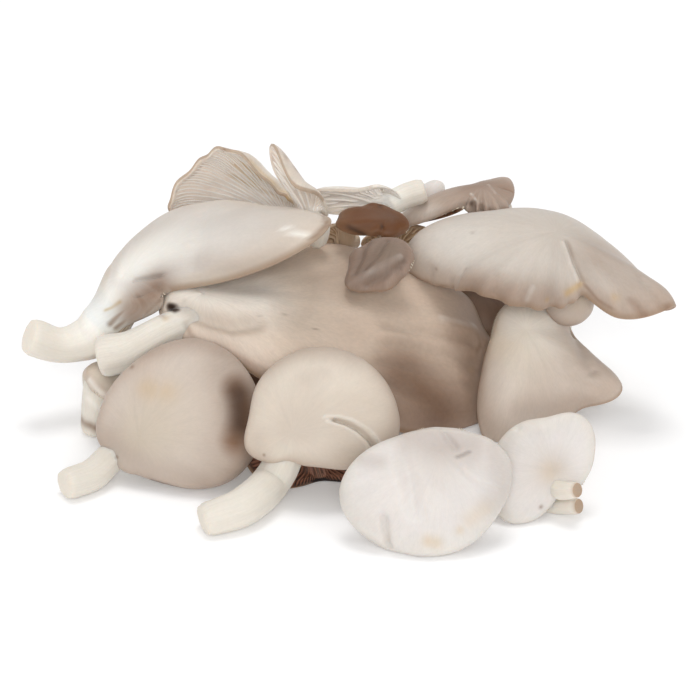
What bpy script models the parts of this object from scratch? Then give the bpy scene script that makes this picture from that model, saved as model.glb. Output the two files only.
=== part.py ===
"""A heap of loose grey oyster mushrooms, each one closed solid with its cap, gills and stem.

Every mushroom is a loft of rings: from the middle of the cap's upper skin out to the rim, back under the
cap over the gills to the stem, and down the stem to its cut end. Sizes are in millimetres and angles in
degrees until the rings become a mesh. World X runs to the right, Y away from the front and Z up, with the
table top at Z = 0.
"""
from dataclasses import dataclass, field

import bmesh
import bpy
import numpy as np
from mathutils import Matrix

MM = 0.001
HEAP_CENTRE = (-1.2, 1.7)     # what is taken off X and Y so that the heap stands over the origin
TABLE_TOP = 0.0                # nothing reaches lower than this: what touches the table is pressed flat
ROUND = 360.0
PROFILE_STEPS = 41             # samples along a cap's radius when its curved section is added up
SKIN_RINGS = (0.22, 0.46, 0.7, 0.88, 1.0)      # shares of the way from the hub to the rim, on the upper skin
UNDER_RINGS = (0.0, 0.09, 0.34, 0.66, 1.0)     # shares of the way from the rim to the stem, under the cap
RIM_BULGE = 0.4                # how far the rounded rim stands out, as a share of its thickness
LIP_FADE = 5.0                 # overhang past the stem at which a rim is a full lip
GILL_START = 2.5               # distance from the rim over which the gills reach their depth
GILL_SLENDER = 1.1             # most height of a gill over the width between it and the next valley
STEM_STEP = 9.0                # spacing of the rings down a stem
SEED_SIZE = 0.5                # side of the small block that each body is united with


def ease(x):
    """Smooth step from 0 to 1."""
    x = np.clip(x, 0.0, 1.0)
    return x * x * (3 - 2 * x)


def hermite(before, start, end, after, t, gaps):
    """Cubic between start and end, with slopes taken from the neighbours at the given knot gaps."""
    left, here, right = gaps
    slope_start = (end - before) / (left + here) * here
    slope_end = (after - start) / (here + right) * here
    return (start * (2 * t**3 - 3 * t**2 + 1) + slope_start * (t**3 - 2 * t**2 + t)
            + end * (3 * t**2 - 2 * t**3) + slope_end * (t**3 - t**2))


def around(angles, rows, theta):
    """Rows of values given at angles round the cap, read at every theta on one smooth closed curve."""
    order = np.argsort(angles)
    angles = np.asarray(angles, float)[order]
    rows = np.asarray(rows, float)[order]
    knots = np.concatenate([angles[-2:] - ROUND, angles, angles[:2] + ROUND])
    values = np.concatenate([rows[-2:], rows, rows[:2]])
    theta = (np.asarray(theta) - angles[0]) % ROUND + angles[0]
    at = np.searchsorted(knots, theta, side="right") - 1
    here = (knots[at + 1] - knots[at])[:, None]
    gaps = ((knots[at] - knots[at - 1])[:, None], here, (knots[at + 2] - knots[at + 1])[:, None])
    return hermite(values[at - 1], values[at], values[at + 1], values[at + 2],
                   (theta[:, None] - knots[at][:, None]) / here, gaps)


def along(points, share):
    """Points read at shares 0 to 1 of a smooth open curve through the given points."""
    points = np.asarray(points, float)
    gaps = np.linalg.norm(np.diff(points[:, :3], axis=0), axis=1)
    knots = np.concatenate([[0.0], np.cumsum(gaps)])
    padded = np.concatenate([[2 * points[0] - points[1]], points, [2 * points[-1] - points[-2]]])
    padded_gaps = np.concatenate([gaps[:1], gaps, gaps[-1:]])
    reach = np.asarray(share) * knots[-1]
    at = np.clip(np.searchsorted(knots, reach, side="right") - 1, 0, len(gaps) - 1)
    here = gaps[at][:, None]
    return hermite(padded[at], padded[at + 1], padded[at + 2], padded[at + 3],
                   (reach - knots[at])[:, None] / here,
                   (padded_gaps[at][:, None], here, padded_gaps[at + 2][:, None]))


def unit(vectors):
    """The same directions at length 1."""
    return vectors / np.maximum(np.linalg.norm(vectors, axis=-1, keepdims=True), 1e-9)


@dataclass
class Mushroom:
    """One oyster mushroom.

    The hub is the point of the upper skin over the top of the stem. The cap's axis leans that many degrees
    from upright towards a compass direction (0 is +X, 90 is +Y), and heading is the direction of its long
    side before it leans. A ray is (angle from the heading, reach, lift, droop, roll): reach is the length of
    the skin from hub to rim, and the skin starts at the slope lift, turns down by droop along the way and by
    roll more close to the rim. The stem is a list of world points with the radius there, from below the cap
    to the cut end.
    """

    name: str
    hub: tuple
    lean: float
    lean_to: float
    heading: float
    rays: list
    stem: list
    stem_top: float                      # radius of the stem where it meets the cap
    gills: int = 24
    gill_depth: float = 2.2
    flesh: tuple = (5.0, 1.3)            # thickness at the hub and at the rim, without the gills
    flare: float = 4.0                   # width of the curve from the gills into the stem
    neck: float = 4.0                    # length of stem that runs straight down from the cap
    collar: float = 6.0                  # distance down the stem at which it is round
    roll_from: float = 0.75
    ripples: list = field(default_factory=list)   # (waves round the rim, height, phase)
    bumps: list = field(default_factory=list)     # (angle, distance from the hub, half width, height)
    colour: tuple = (0.72, 0.63, 0.53)

    def turn(self):
        """Rotation from the cap's own axes to the world's."""
        spin = Matrix.Rotation(np.radians(self.lean_to), 3, "Z")
        tilt = Matrix.Rotation(np.radians(self.lean), 3, "Y")
        head = Matrix.Rotation(np.radians(self.heading - self.lean_to), 3, "Z")
        return np.array(spin @ tilt @ head)

    def skin(self, theta, share):
        """World points on the upper skin and the normals there, for each theta at its shares of the reach."""
        rows = around([ray[0] for ray in self.rays], [ray[1:] for ray in self.rays], theta)
        reach, lift, droop, roll = rows.T[:, :, None]
        step = np.linspace(0.0, 1.0, PROFILE_STEPS)
        late = ease((step - self.roll_from) / (1 - self.roll_from))
        slope = np.radians(lift - droop * step - roll * late)
        middle = (slope[:, 1:] + slope[:, :-1]) / 2
        start = np.zeros((len(theta), 1))
        out = np.concatenate([start, np.cumsum(np.cos(middle), axis=1)], axis=1) * reach / (PROFILE_STEPS - 1)
        up = np.concatenate([start, np.cumsum(np.sin(middle), axis=1)], axis=1) * reach / (PROFILE_STEPS - 1)

        spot = np.clip(share, 0, 1) * (PROFILE_STEPS - 1)
        low = np.minimum(spot.astype(int), PROFILE_STEPS - 2)
        part = spot - low

        def read(rows):
            return np.take_along_axis(rows, low, 1) * (1 - part) + np.take_along_axis(rows, low + 1, 1) * part

        angle = np.radians(theta)[:, None]
        across = np.stack([np.cos(angle), np.sin(angle), 0 * angle], -1)
        axis = np.array([0.0, 0.0, 1.0])
        pitch = read(slope)[..., None]
        normal = axis * np.cos(pitch) - across * np.sin(pitch)
        point = across * read(out)[..., None] + axis * read(up)[..., None]
        point = point + normal * self.relief(angle, share, reach * share)[..., None]
        turn = self.turn()
        return point @ turn.T + np.array(self.hub), normal @ turn.T

    def relief(self, angle, share, distance):
        """Height of the ripples and bumps over the plain curved skin."""
        height = 0.0 * share
        for waves, size, phase in self.ripples:
            height = height + size * np.sin(waves * angle + np.radians(phase)) * share**2
        for bearing, far, width, size in self.bumps:
            bearing = np.radians(bearing)
            gap = (distance * np.cos(angle) - far * np.cos(bearing))**2
            gap = gap + (distance * np.sin(angle) - far * np.sin(bearing))**2
            height = height + size * np.exp(-gap / width**2)
        return height

    def thickness(self, share):
        """Thickness of the flesh from hub to rim."""
        hub, rim = self.flesh
        return rim + (hub - rim) * (1 - share)**1.5

    def stem_track(self):
        """Centres and radii down the middle of the stem, its direction, and two sideways axes at each."""
        turn = self.turn()
        top = np.array(self.hub) - turn[:, 2] * self.flesh[0] / 2
        neck = top - turn[:, 2] * self.neck
        track = np.array([[*top, self.stem_top], [*neck, self.stem_top], *self.stem], float)
        fine = along(track, np.linspace(0, 1, PROFILE_STEPS))
        ahead = unit(np.gradient(fine[:, :3], axis=0))
        sides = [turn[:, 0]]
        for direction in ahead[1:]:
            sides.append(unit(sides[-1] - direction * (sides[-1] @ direction)))
        sides = np.array(sides)
        return fine, ahead, sides, -np.cross(ahead, sides)

    def stem_ring(self, theta, distance):
        """World ring round the stem at a distance down it, the direction there, and the stem's length."""
        fine, ahead, sides, others = self.stem_track()
        run = np.concatenate([[0], np.cumsum(np.linalg.norm(np.diff(fine[:, :3], axis=0), axis=1))])
        spot = np.clip(np.searchsorted(run, distance), 1, PROFILE_STEPS - 1)
        part = np.clip((distance - run[spot - 1]) / (run[spot] - run[spot - 1]), 0, 1)

        def read(rows):
            return rows[spot - 1] * (1 - part) + rows[spot] * part

        centre, side, other = read(fine), read(sides), read(others)
        angle = np.radians(theta)[:, None]
        ring = centre[:3] + (side * np.cos(angle) + other * np.sin(angle)) * centre[3]
        return ring, read(ahead), run[-1]

    def overhang(self, theta):
        """Reach of the cap at every theta, and how far the rim there is a lip, from 0 to 1.

        Where the cap reaches no further than the flare of the stem it has no lip.
        """
        reach = around([ray[0] for ray in self.rays], [ray[1:2] for ray in self.rays], theta)
        return reach, ease((reach - self.stem_top - self.flare) / LIP_FADE)

    def under_path(self, theta, shares):
        """World points from the rim to the stem under the cap, without gills, with each way's length and lip.

        Under a lip the way runs back along the gills, and elsewhere straight down.
        """
        reach, lip = self.overhang(theta)
        inner = np.minimum((self.stem_top + self.flare) / reach, 1.0)
        back = 1 - (1 - inner) * np.linspace(0, 1, PROFILE_STEPS)
        point, normal = self.skin(theta, back)
        edge = self.skin(theta, np.tile([0.97, 1.0], (len(theta), 1)))[0]
        forward = unit(edge[:, 1] - edge[:, 0])[:, None]
        lift = lip[..., None]
        point = point + ((1 - lift) * forward - lift * normal) * self.thickness(back)[..., None]
        inward = unit(point[:, -1:] - point[:, -2:-1])
        start = lift * inward + (1 - lift) * forward
        ring, ahead, _ = self.stem_ring(theta, self.collar)
        first, last = point[:, -1:], ring[:, None]
        span = np.linalg.norm(last - first, axis=2, keepdims=True)
        t = np.linspace(0, 1, PROFILE_STEPS // 2)[None, 1:, None]
        curve = (first * (2 * t**3 - 3 * t**2 + 1) + start * span * (t**3 - 2 * t**2 + t)
                 + last * (3 * t**2 - 2 * t**3) + ahead * span * (t**3 - t**2))
        path = np.concatenate([point, curve], axis=1)
        run = np.linalg.norm(np.diff(path, axis=1), axis=2).cumsum(axis=1)
        run = np.concatenate([np.zeros((len(theta), 1)), run], axis=1)
        found = np.empty((len(theta), len(shares), 3))
        for i, row in enumerate(run):
            for axis in range(3):
                found[i, :, axis] = np.interp(np.array(shares) * row[-1], row, path[i, :, axis])
        return found, run[:, -1:], lip

    def underside(self, theta, ridge):
        """World rings under the cap with the gills raised; ridge is 1 on a gill's edge and 0 between two."""
        smooth, length, lip = self.under_path(theta, UNDER_RINGS)
        sideways = np.roll(smooth, -1, axis=0) - np.roll(smooth, 1, axis=0)
        out = unit(np.cross(np.gradient(smooth, axis=1), sideways))
        share = np.array(UNDER_RINGS)[None]
        rise = ease(share * length / GILL_START) * (1 - ease((share - 0.75) / 0.25)) * lip
        height = np.minimum(self.gill_depth, GILL_SLENDER * np.linalg.norm(sideways, axis=-1) / 2)
        return smooth + out * (height * rise * ridge[:, None])[..., None]

    def middle(self):
        """A place inside the flesh under the hub, in metres."""
        place = np.array(self.hub) - self.turn()[:, 2] * self.flesh[0] / 2
        return (place - np.array([*HEAP_CENTRE, 0.0])) * MM

    def rings(self):
        """Every ring of the loft, from the hub over the rim and the gills to the stem's cut end."""
        half = np.arange(self.gills) * ROUND / self.gills
        full = np.arange(2 * self.gills) * ROUND / (2 * self.gills)
        slim = half[::2]

        skin = self.skin(half, np.tile(SKIN_RINGS, (len(half), 1)))[0]
        found = [skin[:, i] for i in range(len(SKIN_RINGS))]
        outward = unit(skin[:, -1] - skin[:, -2])
        ridge = np.where(np.arange(len(full)) % 2 == 0, 1.0, 0.0)
        under = self.underside(full, ridge)
        bulge = RIM_BULGE * self.flesh[1] * self.overhang(half)[1]
        found.append((skin[:, -1] + under[::2, 0]) / 2 + outward * bulge)
        found += [under[:, i] for i in range(len(UNDER_RINGS) - 1)]
        found.append(under[::2, -1])

        length = self.stem_ring(half, 0.0)[2]
        count = max(2, int(round((length - self.collar) / STEM_STEP)))
        for i in range(1, count + 1):
            found.append(self.stem_ring(slim, self.collar + (length - self.collar) * i / count)[0])
        hub = self.skin(np.zeros(1), np.zeros((1, 1)))[0][0]
        end = found[-1].mean(axis=0, keepdims=True)
        return [hub, *found, end]


def bridge(bm, outer, inner):
    """Faces between two closed rings of vertices, one of which may hold twice as many as the other, or 1."""
    if len(outer) == 1 or len(inner) == 1:
        tip, ring = (outer[0], inner) if len(outer) == 1 else (inner[0], outer)
        for i, vertex in enumerate(ring):
            bm.faces.new((tip, vertex, ring[(i + 1) % len(ring)]))
        return
    few, many = sorted((outer, inner), key=len)
    ratio = len(many) // len(few)
    for i, vertex in enumerate(few):
        after = few[(i + 1) % len(few)]
        side = [many[(i * ratio + k) % len(many)] for k in range(ratio + 1)]
        if ratio == 1:
            bm.faces.new((vertex, side[0], side[1], after))
        else:
            bm.faces.new((vertex, side[0], side[1]))
            bm.faces.new((vertex, side[1], after))
            bm.faces.new((after, side[1], side[2]))


def loft(rings):
    """A closed bmesh through the rings, in metres, pressed flat where it meets the table."""
    bm = bmesh.new()
    placed = []
    for ring in rings:
        ring = ring - np.array([*HEAP_CENTRE, 0.0])
        ring[:, 2] = np.maximum(ring[:, 2], TABLE_TOP)
        placed.append([bm.verts.new(point * MM) for point in ring])
    for outer, inner in zip(placed, placed[1:]):
        bridge(bm, outer, inner)
    bmesh.ops.triangulate(bm, faces=bm.faces, quad_method="SHORT_EDGE")
    bmesh.ops.recalc_face_normals(bm, faces=bm.faces)
    return bm


def drop_pockets(bm):
    """Removes all but the largest surface, such as a pocket sealed in the flesh or a crumb touching it."""
    left = set(bm.faces)
    shells = []
    while left:
        front = [left.pop()]
        shell = set(front)
        while front:
            for edge in front.pop().edges:
                if len(edge.link_faces) == 2:
                    front += [face for face in edge.link_faces if face not in shell]
                    shell.update(edge.link_faces)
        left -= shell
        shells.append(shell)
    largest = max(shells, key=len)
    bmesh.ops.delete(bm, geom=[face for face in bm.faces if face not in largest], context="FACES")
    open_edges = [edge for edge in bm.edges if len(edge.link_faces) == 1]
    bmesh.ops.holes_fill(bm, edges=open_edges, sides=0)


def fused(mesh, inside):
    """The mesh with no face left inside the flesh, as where a stem grows out through its own cap.

    A small seed at a place inside the flesh is united with the body, and the body with itself.
    """
    seed = bpy.data.meshes.new("seed")
    bm = bmesh.new()
    bmesh.ops.create_cube(bm, size=SEED_SIZE * MM, matrix=Matrix.Translation(inside))
    bm.to_mesh(seed)
    bm.free()
    body = bpy.data.objects.new("body", mesh)
    core = bpy.data.objects.new("core", seed)
    for thing in (body, core):
        bpy.context.scene.collection.objects.link(thing)
    union = body.modifiers.new("union", "BOOLEAN")
    union.object = core
    union.operation = "UNION"
    union.solver = "EXACT"
    union.use_self = True
    scene = bpy.context.evaluated_depsgraph_get()
    whole = bpy.data.meshes.new_from_object(body.evaluated_get(scene))
    bm = bmesh.new()
    bm.from_mesh(whole)
    drop_pockets(bm)
    bmesh.ops.triangulate(bm, faces=bm.faces)
    bm.to_mesh(whole)
    bm.free()
    for thing in (body, core):
        bpy.data.objects.remove(thing)
    return whole


def finish(name, colour):
    """The pale, slightly satin flesh of one mushroom."""
    material = bpy.data.materials.new(name + "_flesh")
    material.use_nodes = True
    shader = material.node_tree.nodes["Principled BSDF"]
    shader.inputs["Base Color"].default_value = (*colour, 1.0)
    shader.inputs["Roughness"].default_value = 0.55
    shader.inputs["Metallic"].default_value = 0.0
    material.diffuse_color = (*colour, 1.0)
    return material


def plant(mushroom, collection):
    """One mushroom as a named object in the collection."""
    mesh = bpy.data.meshes.new(mushroom.name)
    bm = loft(mushroom.rings())
    bm.to_mesh(mesh)
    bm.free()
    mesh = fused(mesh, mushroom.middle())
    mesh.name = mushroom.name
    mesh.materials.append(finish(mushroom.name, mushroom.colour))
    mesh.shade_smooth()
    collection.objects.link(bpy.data.objects.new(mushroom.name, mesh))


HEAP = [
    Mushroom("front_left", hub=(-66.1, -31.6, 16.3), lean=58, lean_to=-110, heading=49,
             rays=[(0, 44.9, 11, 63, 53), (40, 27.8, 11, 41, 53), (80, 19.5, 11, 33, 53),
                   (120, 17.3, 11, 39, 53), (150, 14, 11, 42, 53), (180, 15, 11, 55, 53),
                   (210, 15, 11, 55, 53), (240, 21.1, 11, 60, 53), (280, 37.4, 11, 49, 53),
                   (320, 47.8, 11, 73, 53)],
             stem=[(-75.1, -28.6, 6.9, 4.8), (-80.8, -35.5, 4.6, 5), (-88.8, -41.5, 4.5, 5)],
             stem_top=4.4, neck=2.0, flare=1.5, collar=4.0, colour=(0.55, 0.47, 0.38)),
    Mushroom("front_middle", hub=(-17.7, -44, 24.6), lean=53, lean_to=-101, heading=70,
             rays=[(0, 39.3, 3, 60, 44), (40, 31, 3, 60, 44), (80, 21.3, 3, 56, 44),
                   (120, 19.1, 3, 42, 44), (150, 14.4, 3, 45, 44), (180, 10, 3, 41, 44),
                   (210, 11.3, 3, 35, 44), (240, 16.8, 3, 35, 44), (280, 38, 3, 59, 44),
                   (320, 42.3, 3, 63, 44)],
             stem=[(-23.9, -42, 6.9, 6), (-32.5, -56, 5.6, 6), (-44.8, -62, 3.9, 5.3)],
             stem_top=5.2, neck=2.0, flare=1.5, collar=4.0, colour=(0.75, 0.66, 0.56)),
    Mushroom("front_white", hub=(27.2, -62, 28.5), lean=54, lean_to=-90, heading=-84,
             rays=[(0, 34.4, 18, 50, 46), (40, 29.2, 18, 57, 46), (75, 25.6, 18, 61, 46),
                   (120, 11.4, 18, 42, 46), (180, 7.8, 18, 43, 46), (240, 14.9, 18, 54, 46),
                   (285, 37.5, 18, 56, 46), (320, 38.5, 18, 56, 46)],
             stem=[(30.6, -40, 13.9, 5), (32.7, -28, 2.1, 5)],
             stem_top=5, gills=22, colour=(0.81, 0.76, 0.72)),
    Mushroom("front_right", hub=(62.8, -50, 14.5), lean=64, lean_to=-85, heading=132,
             rays=[(0, 19.3, 19, 33, 34), (50, 21.6, 19, 46, 34), (100, 22.1, 19, 34, 34),
                   (150, 9.4, 19, 55, 34), (200, 9.1, 19, 21, 34), (250, 13.4, 19, 26, 34),
                   (290, 20, 19, 39, 34), (330, 17.3, 19, 18, 34)],
             stem=[(64, -52, 9.2, 3), (69.4, -57, 11.9, 2.6)],
             stem_top=3.5, gills=20, colour=(0.79, 0.75, 0.67)),
    Mushroom("sprig", hub=(62.6, -46.3, 4.5), lean=30, lean_to=0, heading=175,
             rays=[(0, 4.3, 9, 23, 29), (90, 4.2, 9, 26, 29), (180, 5.6, 9, 34, 29),
                   (270, 4.2, 9, 32, 29)],
             stem=[(64.9, -50.3, 2.1, 2.6), (70.3, -54.4, 4.6, 2.6)],
             stem_top=2.6, gills=16, colour=(0.68, 0.61, 0.52)),
    Mushroom("right", hub=(56.9, 13.4, 30.6), lean=44, lean_to=-75, heading=-97,
             rays=[(0, 44.3, 8, 50, 34), (30, 38.3, 8, 55, 34), (54, 35.2, 8, 48, 34),
                   (74, 38.3, 8, 28, 12), (90, 27.2, 8, 42, 30), (106, 21.1, 8, 50, 34),
                   (150, 17.1, 8, 45, 34), (200, 14.1, 8, 45, 34), (250, 11.1, 8, 50, 34),
                   (290, 12.1, 8, 50, 34), (325, 21.1, 8, 50, 34)],
             stem=[(57.3, 31.5, 10.3, 6), (54.7, 37.5, -0.1, 6), (54.8, 37.5, -4.2, 6)],
             stem_top=6.5, colour=(0.61, 0.52, 0.41)),
    Mushroom("upper_right", hub=(66.7, 23, 60.8), lean=16, lean_to=-65, heading=166,
             rays=[(0, 59.6, 3, 56, 37), (25, 45.5, 3, 65, 37), (50, 36.2, 3, 42, 37),
                   (80, 31.9, 3, 40, 37), (105, 28.3, 3, 60, 37), (122, 26.8, 3, 58, 37),
                   (133, 24.8, 3, 52, 37), (145, 36.8, 3, 40, 37), (165, 45.8, 3, 18, 37),
                   (185, 46, 3, 64, 37), (215, 25.9, 3, 59, 37), (270, 24, 3, 58, 37),
                   (330, 33.3, 3, 49, 37)],
             stem=[(68.4, 34.9, 43.4, 7), (67.9, 46.8, 23, 7), (68.7, 56.8, -0.8, 7)],
             stem_top=7.5, gills=32, colour=(0.61, 0.51, 0.41)),
    Mushroom("under_right", hub=(75.5, 17.5, 40.4), lean=49, lean_to=-68, heading=-72,
             rays=[(0, 12.3, -13, 71, 17), (60, 12, -13, 84, 17), (120, 9.7, -13, 69, 17),
                   (180, 9.7, -13, 79, 17), (240, 13, -13, 36, 17), (300, 13.7, -13, 55, 17)],
             stem=[(70, 33, 24, 3.4), (66, 34, 4, 3.4)],
             stem_top=4, gills=18, colour=(0.58, 0.49, 0.46)),
    Mushroom("centre_fan", hub=(-47.5, 8.4, 43.8), lean=23, lean_to=-73, heading=5,
             rays=[(0, 104.6, 7, 30, 32), (20, 86.5, 7, 26, 32), (45, 50.3, 7, 34, 32),
                   (70, 36.2, 7, 43, 32), (100, 29.2, 7, 56, 32), (140, 22.6, 12, 80, 32),
                   (172, 19.1, 22, 105, 32), (190, 18.6, 22, 110, 32), (212, 15.1, 10, 80, 32),
                   (235, 16.6, 7, 60, 32), (260, 17.6, 7, 45, 32), (290, 21.1, 7, 35, 32),
                   (310, 39.2, 7, 34, 32), (328, 73.4, 7, 38, 32), (345, 106.6, 7, 43, 32)],
             stem=[(-60.6, -0.4, 36, 5.5), (-70.2, -1.4, 30.7, 6.2), (-80, -1.4, 28.2, 7)],
             stem_top=6, gills=30, flesh=(6.0, 1.4), colour=(0.46, 0.36, 0.3)),
    Mushroom("centre_lobe", hub=(13.6, 21.2, 56.3), lean=27, lean_to=-105, heading=-145,
             rays=[(0, 19.6, 2, 35, 25), (35, 15.7, 2, 40, 25), (70, 11.8, 2, 40, 25),
                   (110, 7.9, 2, 40, 25), (180, 5.9, 2, 40, 25), (250, 6.9, 2, 40, 25),
                   (300, 12.8, 2, 40, 25), (335, 17.7, 2, 35, 25)],
             stem=[(13.5, 28, 47.5, 3.2), (13, 31, 45, 3.2)],
             stem_top=3.4, gills=20, colour=(0.38, 0.3, 0.24)),
    Mushroom("upper_left", hub=(-73.2, 19.2, 47), lean=32, lean_to=-148, heading=-6,
             rays=[(0, 72.1, 14, 38, 22), (25, 61.2, 14, 54, 44), (60, 38.4, 14, 46, 44),
                   (100, 18.2, 14, 45, 34), (140, 8.1, 14, 26, 10), (200, 7.6, 14, 30, 10),
                   (245, 9.1, 14, 34, 10), (280, 11.1, 14, 34, 14), (305, 16.1, 14, 34, 34),
                   (332, 26.2, 14, 34, 44)],
             stem=[(-79, 14, 32.8, 8.2), (-85, 13, 27.5, 7), (-94, 11, 26, 5.8),
                   (-103.5, 8, 30.9, 6.2)],
             stem_top=8, gills=28, neck=0.5, flare=10.0, collar=17.0, colour=(0.73, 0.66, 0.58)),
    Mushroom("left_stub", hub=(-77.9, 4, 20.4), lean=24, lean_to=0, heading=-9,
             rays=[(0, 11.8, 2, 32, 27), (60, 9.6, 2, 32, 27), (120, 8.6, 2, 29, 27),
                   (180, 8.1, 2, 50, 27), (240, 8.3, 2, 43, 27), (300, 12.8, 2, 37, 27)],
             stem=[(-80.3, 2, 14.9, 6), (-83.1, 0, -0.3, 4.5)],
             stem_top=5.5, gills=18, colour=(0.78, 0.7, 0.63)),
    Mushroom("under_front", hub=(-11.2, -20.3, -0.4), lean=157, lean_to=92, heading=-98,
             rays=[(0, 24, -1, 4, 17), (60, 19.5, -1, 26, 17), (120, 21, -1, 14, 17),
                   (180, 11.4, -1, 33, 17), (240, 21.5, -1, 30, 17), (300, 24.9, -1, 23, 17)],
             stem=[(-14.3, -18.3, 6.7, 5), (-14, -12.3, 13.9, 5)],
             stem_top=5, colour=(0.3, 0.22, 0.17)),
    Mushroom("back_fan", hub=(-19.1, 65.6, 47.8), lean=82, lean_to=68, heading=-155,
             rays=[(0, 42, -18, 14, 25), (25, 42.5, -18, 15, 25), (45, 30.7, -18, 35, 25),
                   (62, 24.5, -18, 41, 25), (85, 14.7, -18, 33, 25), (130, 9, -18, 2, 25),
                   (180, 7.7, -18, 28, 25), (230, 8.2, -18, 40, 25), (275, 12.1, -18, 45, 25),
                   (305, 26.6, -18, 20, 25), (335, 46.8, -18, 37, 25)],
             stem=[(-11.5, 67.6, 36.2, 5), (-8.1, 73.7, 12.3, 5), (-9.3, 75.7, -0.8, 5)],
             stem_top=5, gills=28, neck=2.0, flare=2.0, collar=5.0, colour=(0.58, 0.49, 0.38)),
    Mushroom("back_lobe", hub=(-11.5, 37.9, 63), lean=71, lean_to=68, heading=-131,
             rays=[(0, 29.4, 4, 11, 24), (20, 25.2, 4, 62, 24), (50, 10.4, 4, 37, 24),
                   (110, 5.6, 4, 36, 24), (180, 4.4, 4, 50, 24), (250, 6.3, 4, 13, 24),
                   (310, 8.7, 4, -9, 24), (340, 20.4, 4, -2, 24)],
             stem=[(-10.1, 32, 58.7, 3.5), (-11.1, 36, 51.3, 3.5)],
             stem_top=3, gills=18, neck=2.0, flare=1.5, collar=4.0, colour=(0.61, 0.52, 0.4)),
    Mushroom("back_middle", hub=(12.5, 54.7, 58.2), lean=75, lean_to=75, heading=-174,
             rays=[(0, 27.6, -7, 31, 16), (22, 14.9, -7, 45, 16), (55, 9.7, -7, 29, 16),
                   (110, 6.7, -7, 27, 16), (180, 5.6, -7, 28, 16), (250, 4.5, -7, 27, 16),
                   (305, 6.8, -7, 28, 16), (338, 24, -7, 26, 16)],
             stem=[(18.7, 53.7, 59.4, 4.2), (24.7, 54.7, 61.1, 4.2)],
             stem_top=4.2, gills=20, neck=2.0, flare=2.0, collar=4.5, colour=(0.73, 0.61, 0.49)),
    Mushroom("back_folded", hub=(14.5, 35.4, 60.1), lean=26, lean_to=-70, heading=180,
             rays=[(0, 20.3, -3, 24, 36), (35, 10.1, -3, 45, 36), (80, 7.5, -3, 50, 36),
                   (130, 5.4, -3, 50, 36), (180, 7.2, -3, 51, 36), (230, 5, -3, 30, 36),
                   (280, 6.8, -3, 33, 36), (325, 17.5, -3, 42, 36)],
             stem=[(12.6, 45, 52.5, 3.4), (12.7, 52, 46.2, 3.4)],
             stem_top=4, gills=18, neck=2.0, flare=2.0, collar=4.5, colour=(0.3, 0.21, 0.13)),
    Mushroom("back_gilled", hub=(-2.4, 54.3, 45.9), lean=74, lean_to=92, heading=-153,
             rays=[(0, 12.8, -3, 49, 19), (30, 9.2, -3, 41, 19), (70, 5.2, -3, 29, 19),
                   (130, 3.5, -3, 24, 19), (180, 3.7, -3, 22, 19), (230, 5, -3, 0, 19),
                   (290, 7.1, -3, 18, 19), (330, 12.9, -3, 26, 19)],
             stem=[(0.3, 60.3, 39.7, 3.2), (-1, 66.4, 35, 3.2)],
             stem_top=3.2, gills=18, neck=2.0, flare=2.0, collar=4.5, colour=(0.61, 0.43, 0.33)),
    Mushroom("back_under", hub=(16.2, 69.5, 36.4), lean=68, lean_to=88, heading=0,
             rays=[(0, 18.2, 4, 30, 24), (45, 9.1, 4, 30, 24), (90, 6.1, 4, 30, 24),
                   (135, 8.1, 4, 30, 24), (180, 13.1, 4, 30, 24), (235, 7.1, 4, 30, 24),
                   (270, 8.1, 4, 30, 24), (315, 14.2, 4, 30, 24)],
             stem=[(12.1, 71.5, 25.3, 3.5), (10.6, 75, 12, 3.6), (10.2, 76.5, -0.8, 3.8)],
             stem_top=3.2, gills=18, neck=2.0, flare=2.0, collar=4.5, colour=(0.5, 0.36, 0.26)),
    Mushroom("back_white", hub=(26.1, 67.7, 54), lean=53, lean_to=-97, heading=-81,
             rays=[(0, 5.3, 2, 56, 46), (60, 5.8, 2, 53, 46), (120, 6.8, 2, 30, 46),
                   (180, 6.7, 2, 92, 46), (240, 6.2, 2, 67, 46), (300, 9.5, 2, 67, 46)],
             stem=[(27.9, 69.7, 44.9, 3.1), (27.2, 71.8, 46.9, 3.1)],
             stem_top=3, gills=14, colour=(0.87, 0.85, 0.83)),
    Mushroom("dark_curled", hub=(43.8, 54.1, 62.9), lean=6, lean_to=-114, heading=172,
             rays=[(0, 36.5, -6, 40, 32), (40, 11.6, -6, 29, 32), (85, 8, -6, 46, 32),
                   (135, 11.6, -6, 46, 32), (180, 11.4, -6, 25, 32), (225, 11.9, -6, -5, 32),
                   (270, 15.1, -6, 40, 32), (315, 20.8, -6, 83, 32)],
             stem=[(48.9, 54, 55.2, 4.6), (50.4, 60, 45.3, 4.4)],
             stem_top=5, colour=(0.38, 0.31, 0.25)),
    Mushroom("inner_left", hub=(-31, 15, 17.5), lean=25, lean_to=-90, heading=-90,
             rays=[(0, 15, 4, 50, 34), (60, 15, 4, 50, 34), (120, 13, 4, 45, 34), (180, 10, 4, 45, 34),
                   (240, 13, 4, 45, 34), (300, 15, 4, 50, 34)],
             stem=[(-31, 22, 6, 5), (-31, 28, -0.8, 5)],
             stem_top=5, gills=16, colour=(0.46, 0.37, 0.3)),
    Mushroom("inner_right", hub=(44, 50, 27), lean=25, lean_to=-95, heading=-90,
             rays=[(0, 19, 4, 50, 34), (60, 18, 4, 50, 34), (120, 14, 4, 45, 34), (180, 10, 4, 45, 34),
                   (240, 14, 4, 45, 34), (300, 18, 4, 50, 34)],
             stem=[(42, 58, 12, 5.5), (38, 62, -0.8, 5.5)],
             stem_top=5.5, gills=18, colour=(0.4, 0.31, 0.25)),
]


def main():
    """Clears the scene and lays out the heap."""
    for old in list(bpy.data.objects):
        bpy.data.objects.remove(old)
    collection = bpy.data.collections.new("oyster_mushroom_cluster")
    bpy.context.scene.collection.children.link(collection)
    for mushroom in HEAP:
        plant(mushroom, collection)


main()
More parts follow.
